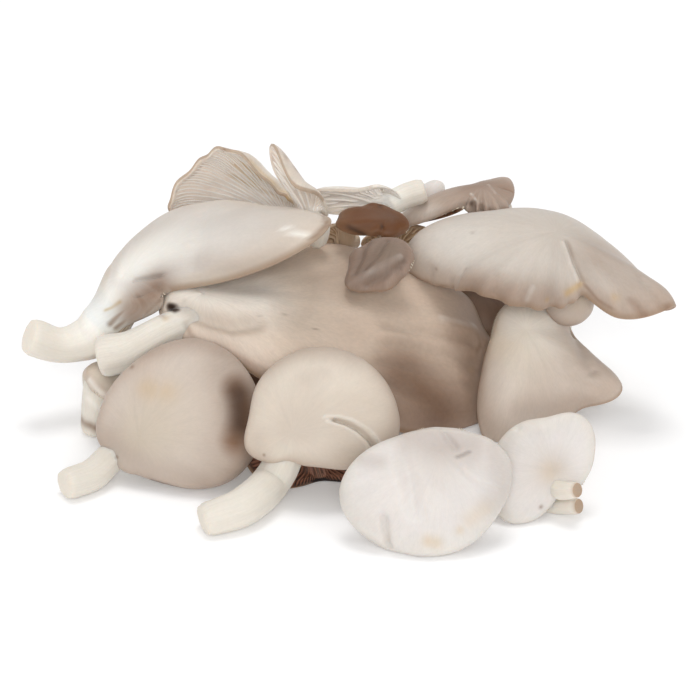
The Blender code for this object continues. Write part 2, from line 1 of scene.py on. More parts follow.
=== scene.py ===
"""Looks of a heap of loose grey oyster mushrooms: fine bodies, gills, flesh, light, floor and camera.

Every mushroom is built by the same formulas as its CAD solid, with finer rings, folds, cuts and gill blades.
Sizes are in millimetres and angles in degrees until a mesh is written in metres.
"""

import logging
from dataclasses import dataclass, field, replace
from enum import Enum
from functools import partial
from typing import Any, Sequence

import bpy
import numpy as np
from mathutils import Matrix, Vector

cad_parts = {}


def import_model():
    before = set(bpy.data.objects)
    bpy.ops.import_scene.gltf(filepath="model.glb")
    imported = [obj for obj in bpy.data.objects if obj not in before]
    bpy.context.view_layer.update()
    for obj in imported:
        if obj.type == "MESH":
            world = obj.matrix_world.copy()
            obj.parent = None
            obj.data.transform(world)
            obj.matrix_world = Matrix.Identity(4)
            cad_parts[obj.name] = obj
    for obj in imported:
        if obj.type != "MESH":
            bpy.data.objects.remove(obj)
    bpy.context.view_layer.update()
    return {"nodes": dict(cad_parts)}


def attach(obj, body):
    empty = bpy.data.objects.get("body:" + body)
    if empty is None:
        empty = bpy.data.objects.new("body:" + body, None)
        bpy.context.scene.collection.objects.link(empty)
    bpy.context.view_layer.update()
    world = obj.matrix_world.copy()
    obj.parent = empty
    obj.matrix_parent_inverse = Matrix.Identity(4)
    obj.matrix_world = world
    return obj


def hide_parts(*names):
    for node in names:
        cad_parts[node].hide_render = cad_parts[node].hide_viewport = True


MM = 0.001  # metres in a millimetre
HEAP_CENTRE = (-1.2, 1.7)  # middle of the heap on the table, in heap millimetres
OFF_TABLE = 0.02  # height of the lowest visible point over the table
ROUND = 360.0  # degrees in a full turn
PROFILE_STEPS = 61  # points along a profile or a stem before it is resampled
RIM_BULGE = 0.4  # how far the rim rounds outward, as a part of its thickness
RIM_STRIP = (0.97, 1.0)  # shares of the reach that give the rim's outward direction
LIP_FADE = 5.0  # overhang over which the rim turns from a shoulder into a free lip
RUFFLE_FADE = 12.0  # degrees over which a wavy stretch of rim starts and ends
GILL_START = 2.5  # distance from the rim over which a gill rises
FIBRE_TURN = 60.0  # millimetres of length that count as one turn in the fibre coordinates
END_ROUND = 0.86  # radius of the stem's cut face as a part of the stem's
END_BULGE = 0.5  # height of the cut face's unevenness
CLEAR_OF_RIM = 9.0  # a distance from the rim at which its colour has no effect
FAR = 1e9  # farther than anything in the heap

log = logging.getLogger("heap")


def ease(x: Any) -> Any:
    """Smooth step from 0 to 1."""
    x = np.clip(x, 0.0, 1.0)
    return x * x * (3 - 2 * x)


def cubic(start: Any, slope_start: Any, end: Any, slope_end: Any, t: Any) -> Any:
    """Cubic from start to end with the given slopes, at t from 0 to 1."""
    return (start * (2 * t**3 - 3 * t**2 + 1) + slope_start * (t**3 - 2 * t**2 + t)
            + end * (3 * t**2 - 2 * t**3) + slope_end * (t**3 - t**2))


def hermite(before: Any, start: Any, end: Any, after: Any, t: Any, gaps: tuple) -> Any:
    """Cubic between start and end, with slopes taken from the neighbours at the given knot gaps."""
    left, here, right = gaps
    slopes = (end - before) / (left + here) * here, (after - start) / (here + right) * here
    return cubic(start, slopes[0], end, slopes[1], t)


def around(angles: Sequence[float], rows: Sequence, theta: np.ndarray) -> np.ndarray:
    """Rows of values given at angles round the cap, read at every theta on one smooth closed curve."""
    order = np.argsort(angles)
    angles = np.asarray(angles, float)[order]
    rows = np.asarray(rows, float)[order]
    knots = np.concatenate([angles[-2:] - ROUND, angles, angles[:2] + ROUND])
    values = np.concatenate([rows[-2:], rows, rows[:2]])
    theta = (np.asarray(theta) - angles[0]) % ROUND + angles[0]
    at = np.searchsorted(knots, theta, side="right") - 1
    here = (knots[at + 1] - knots[at])[:, None]
    gaps = ((knots[at] - knots[at - 1])[:, None], here, (knots[at + 2] - knots[at + 1])[:, None])
    return hermite(values[at - 1], values[at], values[at + 1], values[at + 2],
                   (theta[:, None] - knots[at][:, None]) / here, gaps)


def along(points: Any, share: Any) -> np.ndarray:
    """Points read at shares 0 to 1 of a smooth open curve through the given points."""
    points = np.asarray(points, float)
    gaps = np.linalg.norm(np.diff(points[:, :3], axis=0), axis=1)
    knots = np.concatenate([[0.0], np.cumsum(gaps)])
    padded = np.concatenate([[2 * points[0] - points[1]], points, [2 * points[-1] - points[-2]]])
    padded_gaps = np.concatenate([gaps[:1], gaps, gaps[-1:]])
    reach = np.asarray(share) * knots[-1]
    at = np.clip(np.searchsorted(knots, reach, side="right") - 1, 0, len(gaps) - 1)
    here = gaps[at][:, None]
    return hermite(padded[at], padded[at + 1], padded[at + 2], padded[at + 3],
                   (reach - knots[at])[:, None] / here,
                   (padded_gaps[at][:, None], here, padded_gaps[at + 2][:, None]))


def darker(colour: tuple, factor: float) -> tuple:
    """A colour times a number."""
    return tuple(part * factor for part in colour)


def unit(vectors: np.ndarray) -> np.ndarray:
    """The same directions at length 1."""
    return vectors / np.maximum(np.linalg.norm(vectors, axis=-1, keepdims=True), 1e-9)


def swell(points: np.ndarray, wavelength: float, seed: int, waves: int = 7) -> np.ndarray:
    """A smooth uneven field from -1 to 1 over points in millimetres, the same in every run."""
    draw = np.random.default_rng(seed)
    total = np.zeros(points.shape[:-1])
    for _ in range(waves):
        way = unit(draw.normal(size=3)) * 2 * np.pi / (wavelength * draw.uniform(0.6, 1.7))
        total += np.sin(points @ way + draw.uniform(0, 2 * np.pi))
    return total / waves


class Layer(Enum):
    """What a mark paints on the flesh: its own colour, painted shade or painted light."""

    NONE = "none"
    BROWN = "brown"
    OCHRE = "ochre"
    PALE = "pale"
    DARK = "dark"


@dataclass(frozen=True)
class Mark:
    """A fold, cut, stain, painted shade or painted light that runs along a line of heap points.

    Attributes:
        path: Points on or near the flesh, in millimetres.
        width: Half width over which it fades out.
        height: How far the flesh rises there, or sinks where negative.
        layer: What it paints.
        tint: How strongly it paints, from 0 to 1.
        thick: Whether both sides of the cap move, as a fold does, or only the upper skin, as at a cut.
        sharp: Power of the fall-off: 1 is a soft bell, more has a flat middle and a steep side.
    """

    path: tuple
    width: float
    height: float = 0.0
    layer: Layer = Layer.NONE
    tint: float = 1.0
    thick: bool = False
    sharp: float = 1.0

    def weight(self, points: np.ndarray) -> np.ndarray:
        """Strength of the mark at each point, from 0 to 1."""
        path = np.asarray(self.path, float)
        flat = points.reshape(-1, 3)
        near = np.full(len(flat), FAR)
        if len(path) == 1:
            near = np.linalg.norm(flat - path[0], axis=1)
        for start, end in zip(path, path[1:]):
            way = end - start
            part = np.clip((flat - start) @ way / (way @ way), 0, 1)
            near = np.minimum(near, np.linalg.norm(flat - start - part[:, None] * way, axis=1))
        return np.exp(-((near / self.width)**2)**self.sharp).reshape(points.shape[:-1])


def paint(layer: Layer, width: float, height: float, tint: float, *path: tuple, **more: Any) -> Mark:
    """A mark with its path given point by point."""
    return Mark(path, width, height, layer, tint, **more)


def bare(width: float, height: float, *path: tuple, **more: Any) -> Mark:
    """A mark that only rises or sinks."""
    return Mark(path, width, height, **more)


brown, ochre = partial(paint, Layer.BROWN), partial(paint, Layer.OCHRE)
pale, dark = partial(paint, Layer.PALE), partial(paint, Layer.DARK)


@dataclass
class Mushroom:
    """One oyster mushroom, in the numbers that its CAD solid has.

    Attributes:
        name: The CAD node.
        hub: Point of the upper skin over the top of the stem.
        lean: Lean of the cap's axis from upright.
        lean_to: Compass direction of the lean.
        heading: Direction of the cap's long side before it leans.
        rays: (angle from the heading, reach, droop) round the cap, or with a lift and roll of the ray's own
            (angle, reach, lift, droop, roll).
        stem: Points with radii from below the cap to the cut end.
        stem_top: Radius of the stem under the cap.
        lift: Slope of the skin at the hub.
        roll: How much farther the skin turns down at the rim.
        gill_depth: Height of the CAD ridges.
        flesh: Thickness at the hub and at the rim.
        flare: How far from the stem the underside turns into it.
        neck: Length of straight stem under the hub.
        collar: Distance down the stem at which the underside has joined it.
        roll_from: Share of the reach at which the roll starts.
        folds: Marks that move both sides of the cap.
        ruffles: (first angle, last angle, waves, height, phase) of the wavy rim.
    """

    name: str
    hub: tuple
    lean: float
    lean_to: float
    heading: float
    rays: list
    stem: list
    stem_top: float
    lift: float
    roll: float
    gill_depth: float = 2.2
    flesh: tuple = (5.0, 1.3)
    flare: float = 4.0
    neck: float = 4.0
    collar: float = 6.0
    roll_from: float = 0.75
    folds: list = field(default_factory=list)
    ruffles: list = field(default_factory=list)

    def __post_init__(self) -> None:
        """Gives the rays without a lift and roll of their own the mushroom's."""
        self.rays = [ray if len(ray) > 3 else (*ray[:2], self.lift, ray[2], self.roll) for ray in self.rays]

    def turn(self) -> np.ndarray:
        """Rotation from the cap's own axes to the heap's."""
        spin = Matrix.Rotation(np.radians(self.lean_to), 3, "Z")
        tilt = Matrix.Rotation(np.radians(self.lean), 3, "Y")
        head = Matrix.Rotation(np.radians(self.heading - self.lean_to), 3, "Z")
        return np.array(spin @ tilt @ head)

    def skin(self, theta: np.ndarray, share: np.ndarray) -> tuple:
        """Points on the upper skin and the normals there, for each theta at its shares of the reach."""
        rows = around([ray[0] for ray in self.rays], [ray[1:] for ray in self.rays], theta)
        reach, lift, droop, roll = rows.T[:, :, None]
        step = np.linspace(0.0, 1.0, PROFILE_STEPS)
        late = ease((step - self.roll_from) / (1 - self.roll_from))
        slope = np.radians(lift - droop * step - roll * late)
        middle = (slope[:, 1:] + slope[:, :-1]) / 2
        start = np.zeros((len(theta), 1))
        out = np.concatenate([start, np.cumsum(np.cos(middle), axis=1)], axis=1) * reach / (PROFILE_STEPS - 1)
        up = np.concatenate([start, np.cumsum(np.sin(middle), axis=1)], axis=1) * reach / (PROFILE_STEPS - 1)

        spot = np.clip(share, 0, 1) * (PROFILE_STEPS - 1)
        low = np.minimum(spot.astype(int), PROFILE_STEPS - 2)
        part = spot - low

        def read(rows: np.ndarray) -> np.ndarray:
            return np.take_along_axis(rows, low, 1) * (1 - part) + np.take_along_axis(rows, low + 1, 1) * part

        angle = np.radians(theta)[:, None]
        across = np.stack([np.cos(angle), np.sin(angle), 0 * angle], -1)
        axis = np.array([0.0, 0.0, 1.0])
        pitch = read(slope)[..., None]
        normal = axis * np.cos(pitch) - across * np.sin(pitch)
        point = across * read(out)[..., None] + axis * read(up)[..., None]
        turn = self.turn()
        point, normal = point @ turn.T + np.array(self.hub), normal @ turn.T
        rise = np.zeros(share.shape)
        for fold in self.folds:
            rise = rise + fold.height * fold.weight(point)
        for first, last, waves, height, phase in self.ruffles:
            past = (theta - first) % ROUND
            window = ease(past / RUFFLE_FADE) * ease((last - first - past) / RUFFLE_FADE)
            wave = np.sin(np.radians(past / (last - first) * ROUND * waves + phase))
            rise = rise + height * (window * wave)[:, None] * share**3
        return point + normal * rise[..., None], normal

    def reach(self, theta: np.ndarray) -> np.ndarray:
        """Length of the skin from hub to rim at each theta."""
        return around([ray[0] for ray in self.rays], [ray[1:2] for ray in self.rays], theta)[:, 0]

    def thickness(self, share: np.ndarray) -> np.ndarray:
        """Thickness of the flesh from hub to rim."""
        hub, rim = self.flesh
        return rim + (hub - rim) * (1 - share)**1.5

    def stem_track(self) -> tuple:
        """Centres and radii down the middle of the stem, its direction, and two sideways axes at each."""
        turn = self.turn()
        top = np.array(self.hub) - turn[:, 2] * self.flesh[0] / 2
        neck = top - turn[:, 2] * self.neck
        track = np.array([[*top, self.stem_top], [*neck, self.stem_top], *self.stem], float)
        fine = along(track, np.linspace(0, 1, PROFILE_STEPS))
        ahead = unit(np.gradient(fine[:, :3], axis=0))
        sides = [turn[:, 0]]
        for direction in ahead[1:]:
            sides.append(unit(sides[-1] - direction * (sides[-1] @ direction)))
        sides = np.array(sides)
        return fine, ahead, sides, -np.cross(ahead, sides)

    def stem_ring(self, theta: np.ndarray, distance: float) -> tuple:
        """Ring round the stem at a distance down it, the direction there, and the stem's length."""
        fine, ahead, sides, others = self.stem_track()
        run = np.concatenate([[0], np.cumsum(np.linalg.norm(np.diff(fine[:, :3], axis=0), axis=1))])
        spot = np.clip(np.searchsorted(run, distance), 1, PROFILE_STEPS - 1)
        part = np.clip((distance - run[spot - 1]) / (run[spot] - run[spot - 1]), 0, 1)

        def read(rows: np.ndarray) -> np.ndarray:
            return rows[spot - 1] * (1 - part) + rows[spot] * part

        centre, side, other = read(fine), read(sides), read(others)
        angle = np.radians(theta)[:, None]
        ring = centre[:3] + (side * np.cos(angle) + other * np.sin(angle)) * centre[3]
        return ring, read(ahead), run[-1]

    def overhang(self, theta: np.ndarray) -> tuple:
        """Reach of the cap at every theta, and how far the rim there is a lip, from 0 to 1."""
        reach = self.reach(theta)[:, None]
        return reach, ease((reach - self.stem_top - self.flare) / LIP_FADE)

    def under_path(self, theta: np.ndarray, shares: np.ndarray) -> tuple:
        """Points from the rim to the stem under the cap, each way's length, and its lip."""
        reach, lip = self.overhang(theta)
        inner = np.minimum((self.stem_top + self.flare) / reach, 1.0)
        back = 1 - (1 - inner) * np.linspace(0, 1, PROFILE_STEPS)
        point, normal = self.skin(theta, back)
        edge = self.skin(theta, np.tile(RIM_STRIP, (len(theta), 1)))[0]
        forward = unit(edge[:, 1] - edge[:, 0])[:, None]
        lift = lip[..., None]
        point = point + ((1 - lift) * forward - lift * normal) * self.thickness(back)[..., None]
        inward = unit(point[:, -1:] - point[:, -2:-1])
        start = lift * inward + (1 - lift) * forward
        ring, ahead, _ = self.stem_ring(theta, self.collar)
        first, last = point[:, -1:], ring[:, None]
        span = np.linalg.norm(last - first, axis=2, keepdims=True)
        t = np.linspace(0, 1, PROFILE_STEPS // 2)[None, 1:, None]
        path = np.concatenate([point, cubic(first, start * span, last, ahead * span, t)], axis=1)
        run = np.linalg.norm(np.diff(path, axis=1), axis=2).cumsum(axis=1)
        run = np.concatenate([np.zeros((len(theta), 1)), run], axis=1)
        found = np.empty((len(theta), len(shares), 3))
        for i, row in enumerate(run):
            for axis in range(3):
                found[i, :, axis] = np.interp(np.array(shares) * row[-1], row, path[i, :, axis])
        return found, run[:, -1:], lip


@dataclass(frozen=True)
class Flesh:
    """Colours and surface of one mushroom's flesh, in linear light.

    Attributes:
        skin: The upper skin over most of the cap.
        centre: The upper skin near the hub.
        margin: The upper skin near the rim.
        edge: The thin line on the rim itself.
        under: The flesh between the gills, darker than the gills as painted shade under the cap.
        gill: The gills' free edges.
        stem: The stem.
        cut: The cut end of the stem.
        edge_width: Half width of the thin line.
        edge_tint: How strongly it shows.
        streak: How strongly the radial fibres show.
        mottle: How strongly large soft patches show.
        tone: The colour that the soft patches lean to.
        rough: Roughness of the skin.
    """

    skin: tuple
    centre: tuple
    margin: tuple
    edge: tuple = (0.28, 0.17, 0.09)
    # Painted shade under the cap: darker than the gill colour.
    under: tuple = (0.36, 0.24, 0.15)
    gill: tuple = (0.72, 0.62, 0.48)
    stem: tuple = (0.74, 0.69, 0.61)
    cut: tuple = (0.8, 0.73, 0.63)
    edge_width: float = 0.5
    edge_tint: float = 0.3
    streak: float = 0.3
    mottle: float = 0.3
    tone: tuple = (0.42, 0.31, 0.24)
    rough: float = 0.5


@dataclass(frozen=True)
class Dress:
    """What a mushroom has beyond its CAD numbers.

    Attributes:
        flesh: Its colours.
        slot: Name of a material slot; not used.
        blades: Number of gills round the cap.
        blade_rise: Height of the gills as a part of the CAD ridges' height.
        marks: Folds, cuts, stains, painted shade and painted light.
        ruffles: (first angle, last angle, waves, height, phase) of the wavy rim.
        grain: Spacing of the fine mesh.
        uneven: Height of the soft unevenness of the skin.
        seed: Seed of everything uneven.
    """

    flesh: Flesh
    slot: str
    blades: int = 96
    blade_rise: float = 0.8
    marks: tuple = ()
    ruffles: tuple = ()
    grain: float = 0.9
    uneven: float = 0.35
    seed: int = 1


class Sculpt:
    """Fine mesh of one mushroom: rings from the hub over rim and underside to the stem's cut end."""

    SKIN_ROWS = (10, 110)  # fewest and most rings of the upper skin
    UNDER_ROWS = (8, 40)  # fewest and most rings under the cap
    COLUMNS = (8, 46)  # fewest and most groups of eight points round a ring
    BROAD_WAVE, SMALL_WAVE = 22.0, 8.0  # wavelengths of the skin's unevenness
    RIM_CALM = 1.6  # distance from the rim in which the unevenness fades
    RIM_STEPS = (0.15, 0.4, 0.65, 0.88)  # rings across the rounded rim
    CUT_STEPS = (0.96, 0.85, 0.6, 0.3)  # rings on the cut face, as parts of its radius
    FIBRES, FIBRE_DEPTH, FIBRE_WANDER = 9, 0.014, 40  # count, depth by radius, sway in degrees of the fibres
    STEM_WAVE, STEM_UNEVEN = 9.0, 0.03  # wavelength and height by radius of the stem's unevenness
    END_LENGTH, CUT_BLEND = 2.0, 1.2  # how far from the end the stem rounds off and takes the cut's colour
    TO_STEM = 0.2  # last part of the underside, which takes the stem's colour
    GILL_ENDS = (2.0, 0.34, 0.62, 0.3)  # where four neighbouring gills end on the way in; 2 runs to the stem
    GILL_RUN = 0.97  # last share of the underside that a gill reaches
    GILL_SPACE = 2.2  # a gill's height at most, by its distance to the next
    GILL_FULL = 1.6  # distance to the next at which a blade has its full thickness

    def __init__(self, shape: Mushroom, dress: Dress) -> None:
        """Keeps the numbers.

        Args:
            shape: The CAD numbers.
            dress: What the mushroom has beyond them.
        """
        self.shape = shape
        self.dress = dress
        self.rings: list[np.ndarray] = []
        self.notes: list[dict] = []

    def add(self, ring: np.ndarray, theta: np.ndarray, **notes: Any) -> None:
        """Adds one ring of points with what is known of it.

        Args:
            ring: Points in millimetres.
            theta: Angle of each point round the cap or stem.
            **notes: Values or rows of values kept as attributes.
        """
        self.rings.append(ring)
        self.notes.append({"theta": theta, **notes})

    def upper(self, theta: np.ndarray) -> None:
        """Adds the rings of the upper skin."""
        shape, dress = self.shape, self.dress
        reach = shape.reach(theta)
        rows = int(np.clip(np.percentile(reach, 80) / dress.grain, *self.SKIN_ROWS))
        share = 1 - (1 - np.linspace(0, 1, rows + 1))**1.12
        point, normal = shape.skin(theta, np.tile(share, (len(theta), 1)))
        off_hub = ease(share[None] * 3)
        rise = dress.uneven * swell(point, self.BROAD_WAVE, dress.seed) * off_hub
        rise = rise + dress.uneven * 0.35 * swell(point, self.SMALL_WAVE, dress.seed + 5) * off_hub
        for mark in dress.marks:
            if mark.height and not mark.thick:
                rise = rise + mark.height * mark.weight(point)
        inside = ease((reach[:, None] * (1 - share[None])) / self.RIM_CALM)
        point = point + normal * (rise * (0.25 + 0.75 * inside))[..., None]
        self.hub = point[:, 0].mean(axis=0, keepdims=True)
        blunt = CLEAR_OF_RIM * (1 - shape.overhang(theta)[1][:, 0])
        self.add(self.hub, np.zeros(1), share=0.0, way=0.0, edge=float(reach.mean()))
        for i, s in enumerate(share[1:], 1):
            self.add(point[:, i], theta, share=s, way=reach * s, edge=reach * (1 - s) + blunt)
        self.last_skin = point[:, -1]
        self.outward = unit(point[:, -1] - point[:, -2])

    def lower(self, theta: np.ndarray) -> None:
        """Adds the rounded rim and the rings under the cap."""
        shape = self.shape
        reach = shape.reach(theta)
        rows = int(np.clip(np.percentile(reach, 80) / self.dress.grain / 1.6, *self.UNDER_ROWS))
        share = np.linspace(0, 1, rows + 1)**1.2
        under, length, lip = shape.under_path(theta, share)
        bulge = self.outward * shape.flesh[1] * RIM_BULGE * shape.overhang(theta)[1]
        blunt = CLEAR_OF_RIM * (1 - lip[:, 0])
        for t in self.RIM_STEPS:
            round_off = np.sin(np.pi * t)**0.7
            ring = self.last_skin * (1 - t) + under[:, 0] * t + bulge * round_off
            self.add(ring, theta, share=1.0, way=reach, edge=blunt, under=ease((t - 0.6) / 0.4) * lip[:, 0])
        for i, s in enumerate(share[:-1]):
            stem = ease((s - (1 - self.TO_STEM)) / self.TO_STEM)
            self.add(under[:, i], theta, share=1 - s, way=reach * (1 - s), under=lip[:, 0] * (1 - stem),
                     edge=length[:, 0] * s + 0.6 + blunt, stem=stem)
        self.collar_ring = under[:, -1]

    def stalk(self, theta: np.ndarray) -> None:
        """Adds the stem with its lengthwise fibres, and the rough cut end."""
        shape, dress = self.shape, self.dress
        length = shape.stem_ring(theta, 0.0)[2]
        rows = max(4, int((length - shape.collar) / (dress.grain * 1.4)))
        slim = theta[::2]
        for i in range(rows + 1):
            down = shape.collar + (length - shape.collar) * i / rows
            here = slim if i else theta
            ring = shape.stem_ring(here, down)[0]
            centre = ring.mean(axis=0)
            wander = self.FIBRE_WANDER * np.sin(down / self.STEM_WAVE + dress.seed)
            fibre = self.FIBRE_DEPTH * np.sin(np.radians(here * self.FIBRES + wander))
            fibre = fibre + self.STEM_UNEVEN * swell(ring, self.STEM_WAVE, dress.seed + 9)
            fade = min(1.0, i / 4)
            soft = 1 - (1 - END_ROUND) * ease((down - length + self.END_LENGTH) / self.END_LENGTH)
            ring = centre + (ring - centre) * (1 + fibre * fade)[:, None] * soft
            notes = {"share": 0.0, "way": down, "stem": 1.0, "edge": CLEAR_OF_RIM}
            if i:
                cut = ease((down - length + self.CUT_BLEND) / self.CUT_BLEND) * 0.6
                self.add(ring, here, cut=cut, **notes)
            else:
                self.add(self.collar_ring, here, **notes)
        ring, ahead, _ = shape.stem_ring(slim, length)
        centre = ring.mean(axis=0)
        notes = {"share": 0.0, "way": length, "stem": 1.0, "cut": 1.0, "edge": CLEAR_OF_RIM}
        for t in self.CUT_STEPS:
            face = centre + (ring - centre) * t * END_ROUND
            rough = 0.6 + 0.8 * swell(face, 5.0, dress.seed + 3)[:, None]
            self.add(face + ahead * END_BULGE * (1 - t**4) * rough, slim, **notes)
        self.add(centre[None] + ahead * END_BULGE, np.zeros(1), **notes)

    def faces(self) -> list:
        """Faces between the rings, one of which may hold half as many points as the one before it."""
        start = np.concatenate([[0], np.cumsum([len(ring) for ring in self.rings])])
        faces: list = []
        for i, (outer, inner) in enumerate(zip(self.rings, self.rings[1:])):
            a, b, n, m = start[i], start[i + 1], len(outer), len(inner)
            if n == 1:
                faces += [(a, b + k, b + (k + 1) % m) for k in range(m)]
            elif m == 1:
                faces += [(a + k, b, a + (k + 1) % n) for k in range(n)]
            elif n == m:
                faces += [(a + k, b + k, b + (k + 1) % n, a + (k + 1) % n) for k in range(n)]
            else:
                for k in range(m):
                    left, middle, right = a + 2 * k, a + 2 * k + 1, a + (2 * k + 2) % n
                    low, after = b + k, b + (k + 1) % m
                    faces += [(left, low, middle), (middle, low, after), (middle, after, right)]
        return faces

    def mesh(self) -> bpy.types.Mesh:
        """Builds the mesh with its attributes.

        Returns:
            The mesh in metres over the heap's middle.
        """
        shape, dress = self.shape, self.dress
        girth = 2 * np.pi * np.percentile(shape.reach(np.arange(0, ROUND, 5)), 75)
        columns = int(np.clip(girth / dress.grain / 8, *self.COLUMNS)) * 8
        theta = np.arange(columns) * ROUND / columns
        self.upper(theta)
        self.lower(theta)
        self.stalk(theta)
        points = np.concatenate(self.rings)
        mesh = bpy.data.meshes.new(shape.name)
        placed = points - np.array([*HEAP_CENTRE, 0.0])
        placed[:, 2] = np.maximum(placed[:, 2], OFF_TABLE)
        mesh.from_pydata((placed * MM).tolist(), [], self.faces())

        def column(key: str, default: float = 0.0) -> np.ndarray:
            return np.concatenate([np.broadcast_to(note.get(key, default), len(ring))
                                   for ring, note in zip(self.rings, self.notes)])

        for key in ("share", "under", "stem", "cut", "edge"):
            self.write(mesh, key, column(key))
        for layer in (Layer.BROWN, Layer.OCHRE, Layer.PALE, Layer.DARK):
            paint = np.zeros(len(points))
            for mark in dress.marks:
                if mark.layer is layer:
                    paint = np.maximum(paint, mark.tint * mark.weight(points))
            self.write(mesh, layer.value, paint)
        angle = np.radians(column("theta"))
        fibre = np.stack([np.cos(angle), np.sin(angle), column("way") / FIBRE_TURN], -1)
        self.write(mesh, "fibre", fibre)
        mesh.update()
        mesh.validate()
        return mesh

    @staticmethod
    def write(mesh: bpy.types.Mesh, name: str, values: np.ndarray) -> None:
        """Writes one attribute on the mesh's points."""
        kind, key = ("FLOAT", "value") if values.ndim == 1 else ("FLOAT_VECTOR", "vector")
        attribute = mesh.attributes.new(name, kind, "POINT")
        attribute.data.foreach_set(key, values.astype(np.float32).ravel())

    def guide(self, rows: int) -> bpy.types.Mesh:
        """Points along every gill's root, gill after gill, with the directions that its blade needs.

        Args:
            rows: Points along each gill.

        Returns:
            A mesh of loose points in metres.
        """
        shape, count = self.shape, self.dress.blades
        theta = np.arange(count) * ROUND / count
        share = np.linspace(0.0, self.GILL_RUN, rows)**1.15
        smooth, length, lip = shape.under_path(theta, share)
        sideways = np.roll(smooth, -1, axis=0) - np.roll(smooth, 1, axis=0)
        outward = unit(np.cross(np.gradient(smooth, axis=1), sideways))
        spacing = np.linalg.norm(sideways, axis=-1) / 2
        ends = np.array(self.GILL_ENDS)[np.arange(count) % len(self.GILL_ENDS)][:, None]
        # Farther in fewer gills are left, so each has more room.
        every = np.where(share[None] < 0.32, 1.0, np.where(share[None] < 0.6, 2.0, 4.0))
        rise = ease(share[None] * length / GILL_START) * (1 - ease((share[None] - 0.72) / 0.28)) * lip
        rise = rise * (1 - ease((share[None] - ends + 0.12) / 0.12))
        height = np.minimum(shape.gill_depth * self.dress.blade_rise, self.GILL_SPACE * spacing * every)
        placed = smooth.reshape(-1, 3) - np.array([*HEAP_CENTRE, 0.0])
        mesh = bpy.data.meshes.new(shape.name + "_guide")
        mesh.from_pydata((placed * MM).tolist(), [], [])
        self.write(mesh, "outward", outward.reshape(-1, 3))
        self.write(mesh, "sideways", unit(sideways).reshape(-1, 3))
        self.write(mesh, "rise", (rise * height * MM).ravel())
        self.write(mesh, "slim", np.minimum(1.0, spacing * every / self.GILL_FULL).ravel())
        return mesh


class Wire:
    """One value in a node tree; arithmetic on it adds Math nodes."""

    def __init__(self, graph: "Graph", socket: Any) -> None:
        """Keeps the socket and the tree that it is in."""
        self.graph = graph
        self.socket = socket

    def __add__(self, other: Any) -> "Wire":
        return self.graph.maths("ADD", self, other)

    def __mul__(self, other: Any) -> "Wire":
        return self.graph.maths("MULTIPLY", self, other)

    def __sub__(self, other: Any) -> "Wire":
        return self.graph.maths("SUBTRACT", self, other)

    def __rsub__(self, other: Any) -> "Wire":
        return self.graph.maths("SUBTRACT", other, self)

    def __truediv__(self, other: Any) -> "Wire":
        return self.graph.maths("DIVIDE", self, other)

    def step(self, low: float, high: float) -> "Wire":
        """Smooth step from 0 at low to 1 at high."""
        node = self.graph.node("ShaderNodeMapRange", {"interpolation_type": "SMOOTHSTEP"},
                               {"Value": self, "From Min": low, "From Max": high})
        return self.graph.wire(node, "Result")


class Graph:
    """Builder for a shader or geometry node tree."""

    FACTOR, FIRST, SECOND, MIXED = 0, 6, 7, 2  # sockets of the Mix node that belong to its colour mode

    def __init__(self, tree: bpy.types.NodeTree) -> None:
        """Keeps the tree."""
        self.tree = tree

    def node(self, kind: str, settings: dict | None = None, inputs: dict | None = None) -> bpy.types.Node:
        """Adds a node.

        Args:
            kind: The node's type name.
            settings: Properties of the node.
            inputs: Values or wires for its input sockets, by name or index.

        Returns:
            The new node.
        """
        made = self.tree.nodes.new(kind)
        for key, value in (settings or {}).items():
            setattr(made, key, value)
        for key, value in (inputs or {}).items():
            if isinstance(value, Wire):
                self.link(value, made, key)
            else:
                made.inputs[key].default_value = value
        return made

    def wire(self, node: bpy.types.Node, output: str | int = 0) -> Wire:
        """The wire at a node's output."""
        return Wire(self, node.outputs[output])

    def link(self, value: Wire, node: bpy.types.Node, name: str | int) -> None:
        """Feeds a wire into a node's input."""
        self.tree.links.new(value.socket, node.inputs[name])

    def maths(self, operation: str, *values: Any) -> Wire:
        """A Math node on wires or numbers."""
        return self.wire(self.node("ShaderNodeMath", {"operation": operation}, dict(enumerate(values))))

    def vector(self, operation: str, *values: Any) -> Wire:
        """A Vector Math node on wires or triples."""
        return self.wire(self.node("ShaderNodeVectorMath", {"operation": operation}, dict(enumerate(values))))

    def scaled(self, vector: Wire, factor: Any) -> Wire:
        """A vector or colour times a number."""
        return self.wire(self.node("ShaderNodeVectorMath", {"operation": "SCALE"},
                                   {0: vector, "Scale": factor}))

    def mix(self, factor: Any, first: Any, second: Any) -> Wire:
        """A colour between two others."""
        made = self.node("ShaderNodeMix", {"data_type": "RGBA", "blend_type": "MIX", "clamp_factor": True},
                         {self.FACTOR: factor, self.FIRST: self.colour(first),
                          self.SECOND: self.colour(second)})
        return self.wire(made, self.MIXED)

    @staticmethod
    def colour(value: Any) -> Any:
        """A colour as a socket takes it."""
        return value if isinstance(value, Wire) else (*value, 1.0)

    def attribute(self, name: str, output: str = "Fac") -> Wire:
        """An attribute of the mesh in a shader."""
        return self.wire(self.node("ShaderNodeAttribute", {"attribute_name": name}), output)

    def noise(self, place: Wire, scale: float, detail: float, rough: float) -> Wire:
        """A noise texture's value."""
        made = self.node("ShaderNodeTexNoise", {}, {"Vector": place, "Scale": scale, "Detail": detail,
                                                    "Roughness": rough})
        return self.wire(made, "Fac")


